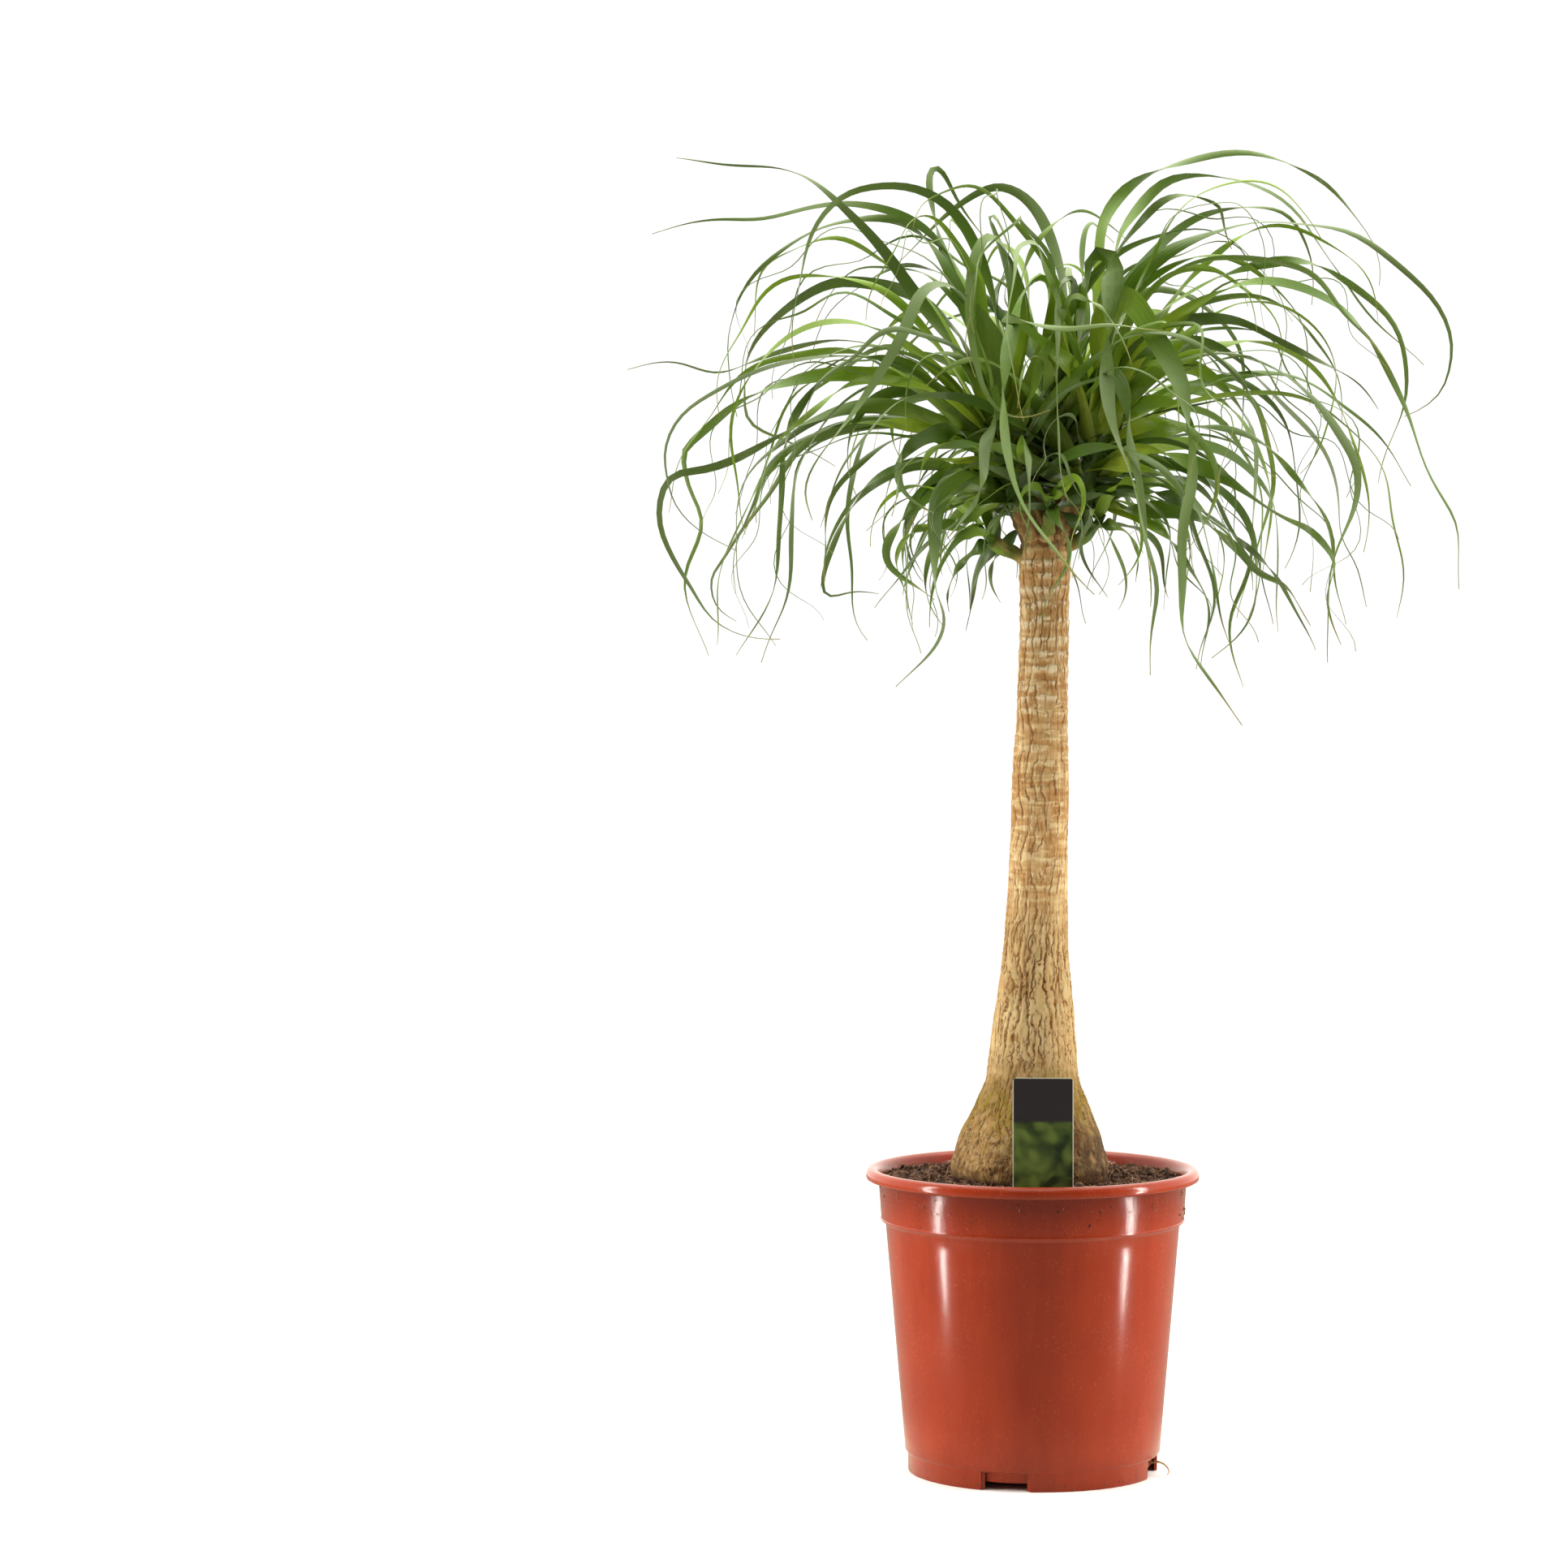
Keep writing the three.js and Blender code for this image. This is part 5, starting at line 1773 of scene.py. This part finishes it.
@dataclass(frozen=True)
class LeafFinish:
    """A waxy strap leaf: lime at its base, green along the blade, ribbed, drier at the tip, with
    painted shade deep in the crown.
    """

    base: Colour = srgb(198, 212, 68)
    young: Colour = srgb(148, 186, 36)
    green: Colour = srgb(88, 130, 26)
    deep: Colour = srgb(24, 52, 12)
    under: Colour = srgb(112, 142, 70)
    outer: Colour = srgb(140, 158, 102)
    core_shade: Colour = srgb(22, 42, 10)
    dry: Colour = srgb(196, 174, 96)
    core_shade_centre: Triple = (14, 0, 805)
    ribs: float = 14
    roughness: float = 0.31
    relief: float = 0.08

    def material(self) -> bpy.types.Material:
        """The leaf's material, which reads the numbers that the blades carry.

        Returns:
            The material.
        """
        web = Surface("leaf")
        names = ("along", "side", "tone", "below", "fresh")
        along, side, tone, below, fresh = (web.read(name) for name in names)
        at = web.place()
        pale = tone.step(0.4, 0.7).at_least(fresh)
        streak = web.noise(at, 5, 1, 6, squash=0.2).step(0.35, 0.6) * 0.4 + 0.6
        # Painted shade: leaves darken towards the crown's heart, young ones less.
        inside = ((at - self.core_shade_centre) * (1, 1, 0.7)).length().step(80, 26)
        rib = (side * self.ribs).sine() * 0.5 + 0.5
        colour = web.layers(
            self.deep,
            (tone, self.green),
            (web.noise(at, 40, 2).step(0.45, 0.75) * 0.25, self.green),
            (below * 0.18, self.under),
            (along.step(0.25, 0.7) * 0.42, self.outer),
            (fresh * 0.85, self.young),
            (along.step(0.48, 0.1) * (0.15 + 0.85 * pale), self.young),
            (along.step(0.32, 0.06) * pale * streak * 0.9, self.base),
            # painted shade round the crown's heart
            (inside * (1 - fresh * 0.5) * 0.8, self.core_shade),
            (rib * along.step(0.6, 0.3) * 0.14, self.under),
            ((along + tone * 0.06).step(0.93, 1.02) * 0.6, self.dry),
        )
        rough = web.noise(at, 14, 2, 3) * 0.16 + self.roughness
        normal = web.bump(rib * along.step(0.5, 0.3), self.relief)
        return web.shade(colour, rough, Normal=normal, Specular_IOR_Level=0.4)


@dataclass(frozen=True)
class Sprouts:
    """More leaves of the big heads, which grow by the heads' own rule with some facts changed.

    counts is how many each head gets, seed and turn are added to the head's own, fresh is the
    lowest and highest freshness, sweep the (seed, sway, grown) of Crown.sweep, and facts the
    head's facts that are changed.
    """

    name: str
    counts: dict[str, int]
    seed: int
    turn: float
    fresh: Pair
    sweep: Triple
    facts: dict[str, object]


@dataclass
class Crown:
    """All leaves, each a thin folded blade swept along its line, and the heads' cores."""

    rule: LeafRule = LeafRule()
    finish: LeafFinish = LeafFinish()
    laid_seed: int = 5
    thickness: float = 0.34
    narrowest: float = 0.16
    profile_points: int = 8
    fold: Triple = (0.14, 0.5, 8)  # at the tip, more at the root, and how fast that fades
    wave_lengths: Pair = (15, 22)
    fresh_from: float = 0.45
    fresh_gain: float = 1.7
    thinned: int = 4  # of the low shoots' leaves, each one of so many is left out
    width_scale: dict[Kind, float] = field(default_factory=lambda: {Kind.BIG: 0.84, Kind.LOW: 0.7})
    taper: tuple[Pair, ...] = (
        (0, 1.0), (0.1, 1.36), (0.26, 1.3), (0.42, 0.96), (0.6, 0.62), (0.78, 0.37), (0.9, 0.18),
        (1, 0.04),
    )
    sprouts: tuple[Sprouts, ...] = (
        Sprouts("upright", {"left": 5, "right": 5, "back": 7}, 300, 0, (0.25, 0.75), (23, 2, 0.0),
                {"spread": 34, "width": (10, 15), "length": (240, 330), "reach": (90, 150),
                 "ceiling": (930, 985), "floor": (700, 775), "front_gap": 0}),
        Sprouts("wisps", {"left": 20, "right": 20, "back": 14}, 500, 0.7, (0, 0.3), (17, 11, 0.2),
                {"width": (1.8, 4.4)}),
    )
    core_points: int = 30
    material: bpy.types.Material = field(init=False)

    def half_width(self, u: np.ndarray, width: float, length: float) -> np.ndarray:
        """Half the blade's width along it: a flared base, full near the root, then a long taper.

        Args:
            u: the places along the leaf, from 0 to 1.
            width: the leaf's width.
            length: its length.

        Returns:
            Half the width at each place.
        """
        flare = 1 + 0.6 * np.exp(-u * length / 20)
        return np.maximum(width / 2 * read_smooth(self.taper, u) * flare, self.narrowest)

    def guide(
        self, name: str, leaves: Sequence[LeafLine], seed: int, sway: float, grown: float
    ) -> bpy.types.Object:
        """The leaves' centrelines as strings of edges that carry what the sweep reads.

        Args:
            name: the guide's name.
            leaves: the leaves' lines.
            seed: for each leaf's own tone and turns.
            sway: how many mm a leaf's tip waves to each side of its line.
            grown: 0 for leaves with a pale young base, more for leaves that are green there.

        Returns:
            The guide object.
        """
        draw = Draw(seed)
        wide_wave, high_wave = self.wave_lengths
        tip_fold, root_fold, fade = self.fold
        points, edges = [], []
        names = ("across_way", "up_way", "half", "fold", "along", "tone", "fresh")
        carried: dict[str, list] = {key: [] for key in names}
        for line in leaves:
            first, count = len(points), len(line.points)
            u = np.linspace(0, 1, count)
            length = sum((b - a).length for a, b in itertools.pairwise(line.points))
            tone = draw.next()
            turn = draw.between(0.8, 2.6) * draw.sign()
            phase, waves, drift = draw.angle(), draw.between(0.5, 1.6), draw.angle()
            edges += [(first + i, first + i + 1) for i in range(count - 1)]
            for i in range(count):
                heading, across = self.rule.heading_at(line.points, i), line.across[i].normalized()
                twist = turn * (math.sin(phase + waves * TURN * u[i]) - math.sin(phase))
                bend = sway * u[i] * math.sin(drift + u[i] * length / wide_wave)
                lift = sway * 0.6 * u[i] * math.cos(drift * 2 + u[i] * length / high_wave)
                points.append(line.points[i] + across * bend + heading.cross(across) * lift)
                across = across * math.cos(twist) + heading.cross(across) * math.sin(twist)
                carried["up_way"].append(across.cross(heading).normalized())
                carried["across_way"].append(across.normalized())
            carried["half"].extend(self.half_width(u, line.width, length) * MM)
            carried["fold"].extend(tip_fold + root_fold * np.exp(-u * fade))
            carried["along"].extend(grown + (1 - grown) * u)
            carried["tone"].extend([tone] * count)
            carried["fresh"].extend([line.fresh] * count)
        return shown(mesh_of(name, np.array(points), (), edges, carried), name)

    def sweep(
        self, name: str, leaves: Sequence[LeafLine], seed: int, sway: float = 3.5, grown: float = 0
    ) -> bpy.types.Object:
        """Turns leaf lines into folded blades.

        Args:
            name: the piece's name after crown_.
            leaves: the leaves' lines.
            seed: for the leaves' tones and turns.
            sway: how many mm a leaf's tip waves to each side of its line.
            grown: 0 for leaves with a pale young base, more for leaves that are green there.

        Returns:
            The piece.
        """
        name = "crown_" + name
        growth = Growth(
            name, self.material, blade_thickness=self.thickness * MM,
            profile_points=self.profile_points,
        )
        lines = growth.make("MeshToCurve", {0: growth.source})
        sockets = {"Resolution": growth.given("profile_points"), "Radius": 1.0}
        ring = growth.make("CurvePrimitiveCircle", sockets)
        x, y, _ = growth.parts(growth.make("InputPosition"))
        ring = growth.store(growth.store(ring, "side", x), "level", y)
        kept = growth.store(lines, "centre", growth.make("InputPosition"), "FLOAT_VECTOR")
        tube = growth.make("CurveToMesh", {"Curve": kept, "Profile Curve": ring, "Fill Caps": True})
        side, level, half, fold = (growth.named(n) for n in ("side", "level", "half", "fold"))
        vectors = ("centre", "across_way", "up_way")
        centre, across, up = (growth.named(n, "FLOAT_VECTOR") for n in vectors)
        lift = fold * half * side.size() + level * growth.given("blade_thickness")
        where = centre + across * (half * side) + up * lift
        blades = growth.make("SetPosition", {"Geometry": tube, "Position": where})
        blades = growth.make("FlipFaces", {"Mesh": blades})
        blades = growth.store(blades, "below", (level * -1).step(0.05, 0.5))
        blades = growth.make("SetShadeSmooth", {0: blades})
        piece = growth.run(self.guide(name + "_lines", leaves, seed, sway, grown), name, blades)
        self.crease(piece.data)
        for spent in (*vectors, "half", "fold", "level"):
            layer = piece.data.attributes.get(spent)
            if layer:
                piece.data.attributes.remove(layer)
        return piece

    @staticmethod
    def crease(mesh: bpy.types.Mesh) -> None:
        """Marks the two rims of every blade sharp, so that its faces shade flat up to them.

        Args:
            mesh: the blades.
        """
        side = np.empty(len(mesh.vertices), np.float32)
        mesh.attributes["side"].data.foreach_get("value", side)
        ends = np.empty(len(mesh.edges) * 2, np.int32)
        mesh.edges.foreach_get("vertices", ends)
        on_rim = (np.abs(side[ends]) > 0.99).reshape(-1, 2).all(axis=1)
        rims = mesh.attributes.get("sharp_edge")
        rims = rims or mesh.attributes.new("sharp_edge", "BOOLEAN", "EDGE")
        rims.data.foreach_set("value", on_rim)

    def core(self, shape: Shape, head: Head) -> None:
        """Adds a head's core, a slim spindle of tight young leaf bases.

        Args:
            shape: where it is added.
            head: the head that it stands in.
        """
        girth, foot = (0.82, 0.7) if head.kind is Kind.BIG else (0.55, 0.3)
        core, radius, count = head.core, head.radius * girth, self.core_points
        outline = [
            (-9, radius * foot), (0, radius * 0.82), (5, radius * 0.86),
            (core * 0.4, radius * 0.68), (core * 0.8, radius * 0.4), (core, radius * 0.14),
        ]
        rises = np.linspace(-9, core, count)
        path = np.array(head.base) + rises[:, None] * np.array(head.frame()[0])
        rings = tube_rings(path, read_smooth(outline, rises), count)
        turns = around(count)
        ripple = 1 + 0.09 * np.abs(np.sin(turns * 3 + rises[:, None] * 0.09))
        rings = path[:, None, :] + (rings - path[:, None, :]) * ripple[..., None]
        along = np.linspace(0.2, 0.45, count)[:, None]
        shape.add_rings(rings, along=along, side=np.sin(turns * 3), tone=0.6, below=0.0, fresh=0.0)

    def sprouted(self, group: Sprouts) -> bpy.types.Object:
        """One piece of more leaves in the big heads.

        Args:
            group: which leaves.

        Returns:
            The piece.
        """
        leaves = []
        for name, count in group.counts.items():
            own = HEADS[name]
            head = replace(
                own, count=count, seed=own.seed + group.seed, turn=own.turn + group.turn,
                **group.facts,
            )
            draw = Draw(head.seed)
            for k in range(count):
                leaves.append(self.rule.grown(head, k, draw))
                leaves[-1].fresh = draw.between(*group.fresh)
        return self.sweep(group.name, leaves, *group.sweep)

    def build(self) -> None:
        """Makes the crown's pieces and gives them to the frame."""
        self.material = self.finish.material()
        draw = Draw(self.laid_seed)
        laid = [self.rule.laid(row, draw) for row in LAID_LEAVES]
        pieces = [self.sweep("outline", laid, seed=3, sway=1.5)]
        shape = Shape()
        for head in HEADS.values():
            self.core(shape, head)
        pieces.append(shape.show("crown_cores"))
        low = []
        for head in HEADS.values():
            draw = Draw(head.seed)
            leaves = [self.rule.grown(head, k, draw) for k in range(head.count)]
            for k, line in enumerate(leaves):
                line.width *= self.width_scale[head.kind]
                inner = max(0.0, (k + 0.5) / head.count - self.fresh_from)
                line.fresh = inner * self.fresh_gain
            if head.kind is Kind.BIG:
                pieces.append(self.sweep(head.name, leaves, head.seed + 1))
            else:
                low += [line for k, line in enumerate(leaves) if k % self.thinned != 1]
        pieces.append(self.sweep("low", low, seed=91, sway=8, grown=0.3))
        pieces += [self.sprouted(group) for group in self.sprouts]
        for piece in pieces:
            hand_over(piece, ["crown"], self.material)


# ---- Label ----


@dataclass(frozen=True)
class CardFinish:
    """A printed plastic card: a bare dark head, a soft mottled green field and a pale edge."""

    head: Colour = srgb(44, 40, 42)
    field_dark: Colour = srgb(26, 44, 20)
    field_light: Colour = srgb(104, 124, 56)
    edge: Colour = srgb(214, 216, 196)
    roughness: float = 0.28

    def material(self, label: "Label") -> bpy.types.Material:
        """The card's material, laid out by the label's own sizes.

        Args:
            label: the label.

        Returns:
            The material.
        """
        web = Surface("label_plastic")
        at = web.place()
        x, _, height = web.parts(at)
        drift = web.noise(at + web.noise(at, 24, 1, 5).vector() * 30, 13, 1, 3)
        green = (drift * 0.6 + web.noise(at, 22, 1, 8) * 0.4).step(0.4, 0.68)
        split, half = label.top - label.head_height, label.width / 2
        rim = (x - label.centre_x).size().step(half - 0.75, half - 0.45)
        cap = height.step(label.top - 0.8, label.top - 0.5)
        colour = web.layers(
            self.field_dark,
            (green, self.field_light),
            (height.step(split - 1.5, split + 1.5), self.head),
            (rim.at_least(cap), self.edge),
        )
        return web.shade(colour, web.noise(at, 6, 2) * 0.1 + self.roughness)


@dataclass
class Label:
    """The plant label: a rounded card on a short spike, pushed into the soil."""

    width: float = 48
    thickness: float = 0.8
    centre_x: float = 8.5
    y: float = -95
    top: float = 327
    shoulder: float = 236
    spike_tip: float = 176
    spike_tip_width: float = 9
    corner: float = 3.5
    corner_points: int = 9
    tilt: float = 3
    head_height: float = 35
    soil_top: float = 235
    edge: float = 0.18
    finish: CardFinish = CardFinish()

    def outline(self) -> list[Pair]:
        """The card's outline as x about its middle, and height.

        Returns:
            The outline's points.
        """
        half, tip, corner = self.width / 2, self.spike_tip_width / 2, self.corner
        turns = np.linspace(0, math.pi / 2, self.corner_points)
        x, z = half - corner, self.top - corner
        right = [(x + corner * math.cos(t), z + corner * math.sin(t)) for t in turns]
        left = [(-x, z) for x, z in reversed(right)]
        foot = [(-tip, self.spike_tip), (tip, self.spike_tip)]
        return [*foot, (half, self.shoulder), *right, *left, (-half, self.shoulder)]

    def build(self) -> None:
        """Makes the label and gives it to the frame."""
        mesh = bmesh.new()
        front, back = (
            [mesh.verts.new((x, y, z - self.soil_top)) for x, z in self.outline()]
            for y in (-self.thickness / 2, self.thickness / 2)
        )
        mesh.faces.new(front)
        mesh.faces.new(reversed(back))
        for k in range(len(front)):
            n = (k + 1) % len(front)
            mesh.faces.new((front[n], front[k], back[k], back[n]))
        lean = Matrix.Rotation(-math.radians(self.tilt), 4, "X")
        stand = Matrix.Translation((self.centre_x, self.y, self.soil_top))
        bmesh.ops.transform(mesh, matrix=TO_FRAME @ stand @ lean, verts=mesh.verts)
        raw = turned_out(mesh, "label_raw")
        bevel = raw.modifiers.new("edge", "BEVEL")
        bevel.width, bevel.segments, bevel.limit_method = self.edge * MM, 2, "ANGLE"
        label = baked(raw, "label_card")
        hand_over(label, ["label"], self.finish.material(self))


# ---- Studio ----


def aimed(name: str, data: bpy.types.ID, place: Vector, way: Vector) -> bpy.types.Object:
    """A light or camera in the scene, looking along a direction.

    Args:
        name: the object's name.
        data: its light or camera.
        place: where it stands about the pot's axis, in metres.
        way: the direction.

    Returns:
        The object.
    """
    made = bpy.data.objects.new(name, data)
    made.location = place + AXIS
    made.rotation_euler = way.to_track_quat("-Z", "Y").to_euler()
    bpy.context.scene.collection.objects.link(made)
    return made


@dataclass(frozen=True)
class SoftBox:
    """One rectangular soft light, aimed at a point of the plant. Places are metres."""

    name: str
    place: Triple
    aim: Triple
    width: float
    height: float
    power: float
    colour: Triple = (1.0, 0.97, 0.91)

    def build(self) -> None:
        """Puts the light in the scene."""
        data = bpy.data.lights.new(self.name, "AREA")
        data.shape, data.size, data.size_y = "RECTANGLE", self.width, self.height
        data.energy, data.color = self.power, self.colour
        way = Vector(self.aim) - Vector(self.place)
        aimed(self.name, data, Vector(self.place), way).visible_camera = False


@dataclass
class Studio:
    """White floor, pale surroundings, soft lights and the camera at the photograph's angle."""

    eye: Triple = (0, -3750, 700)
    target: Triple = (-202, 0, 700)
    lens: float = 105.84
    sensor: float = 36
    shift_down: float = 0.1128
    sight: float = 100
    floor_radius: float = 2600
    floor_sides: int = 96
    bright_bounce_zone: Pair = (300, 130)
    daylight: Colour = (1.0, 0.955, 0.88, 1.0)
    backdrop: Colour = (1.0, 1.0, 1.0, 1.0)
    floor_colour: Colour = srgb(250, 250, 249)
    floor_bounce: Colour = srgb(150, 147, 140)
    floor_bounce_near: Colour = srgb(216, 208, 194)
    boxes: tuple[SoftBox, ...] = (
        SoftBox("strip_left", (-0.54, -0.209, 0.26), (0, 0, 0.26), 0.023, 0.5, 2.8),
        SoftBox("strip_right", (0.54, -0.172, 0.26), (0, 0, 0.26), 0.023, 0.5, 2.8),
        SoftBox("soft_front", (0.0, -1.15, 1.55), (0, 0, 0.75), 0.9, 0.6, 3.0),
        SoftBox("soft_top", (0.0, 0.2, 3.2), (0, 0, 0), 4.0, 4.0, 88),
    )

    def camera(self) -> None:
        """Sets the camera."""
        data = bpy.data.cameras.new("view")
        data.lens, data.sensor_width = self.lens, self.sensor
        data.shift_y, data.clip_end = -self.shift_down, self.sight
        way = Vector(self.target) - Vector(self.eye)
        bpy.context.scene.camera = aimed("view", data, Vector(self.eye) * MM, way)

    def floor(self) -> None:
        """Lays the floor, whose bounced light is darker than it looks to the camera, with a painted
        pool of brighter bounce near the pot.
        """
        web = Surface("studio_floor")
        seen = web.node("ShaderNodeLightPath")
        near = web.place().length().step(*self.bright_bounce_zone)
        bounce = web.mix(near, self.floor_bounce, self.floor_bounce_near)
        colour = web.mix(seen, bounce, self.floor_colour)
        material = web.shade(colour, 0.9, Specular_IOR_Level=0.0)
        angles = around(self.floor_sides)
        x, y = np.cos(angles) * self.floor_radius, np.sin(angles) * self.floor_radius
        points = np.stack([x, y, 0 * angles], axis=-1)
        floor = shown(mesh_of("floor", points, [tuple(range(self.floor_sides))]), "studio_floor")
        floor.data.materials.append(material)

    def world(self) -> None:
        """Fills the surroundings with pale light, dimmer in front, where the camera stands."""
        world = bpy.data.worlds.new("studio")
        world.use_nodes = True
        world.node_tree.nodes.clear()
        web = Web(world.node_tree)
        _, y, z = web.parts(web.node("ShaderNodeTexCoord").other("Generated"))
        bright = 0.02 + 1.4 * y.step(-0.62, 0.16) + 0.4 * y.step(0.3, 0.9) + 0.2 * z.step(0.0, 0.9)
        seen = web.node("ShaderNodeLightPath")
        strength = bright * (1 - seen) + seen * 1.05
        colour = web.mix(seen, self.daylight, self.backdrop)
        back = web.node("ShaderNodeBackground", {}, {"Color": colour, "Strength": strength})
        web.node("ShaderNodeOutputWorld", {}, {"Surface": back})
        bpy.context.scene.world = world

    def build(self) -> None:
        """Builds the studio."""
        self.camera()
        self.floor()
        self.world()
        for box in self.boxes:
            box.build()
        bpy.context.scene.view_settings.view_transform = "Standard"


# ---- Main ----


def main() -> None:
    """Builds the studio and each sub-assembly in order."""
    logging.basicConfig(level=logging.INFO, format="%(message)s")
    for part in (Studio(), Pot(), Soil(), Trunk(), Crown(), Label()):
        part.build()
        LOG.info("%s built", type(part).__name__)


if __name__ == "__main__":
    main()
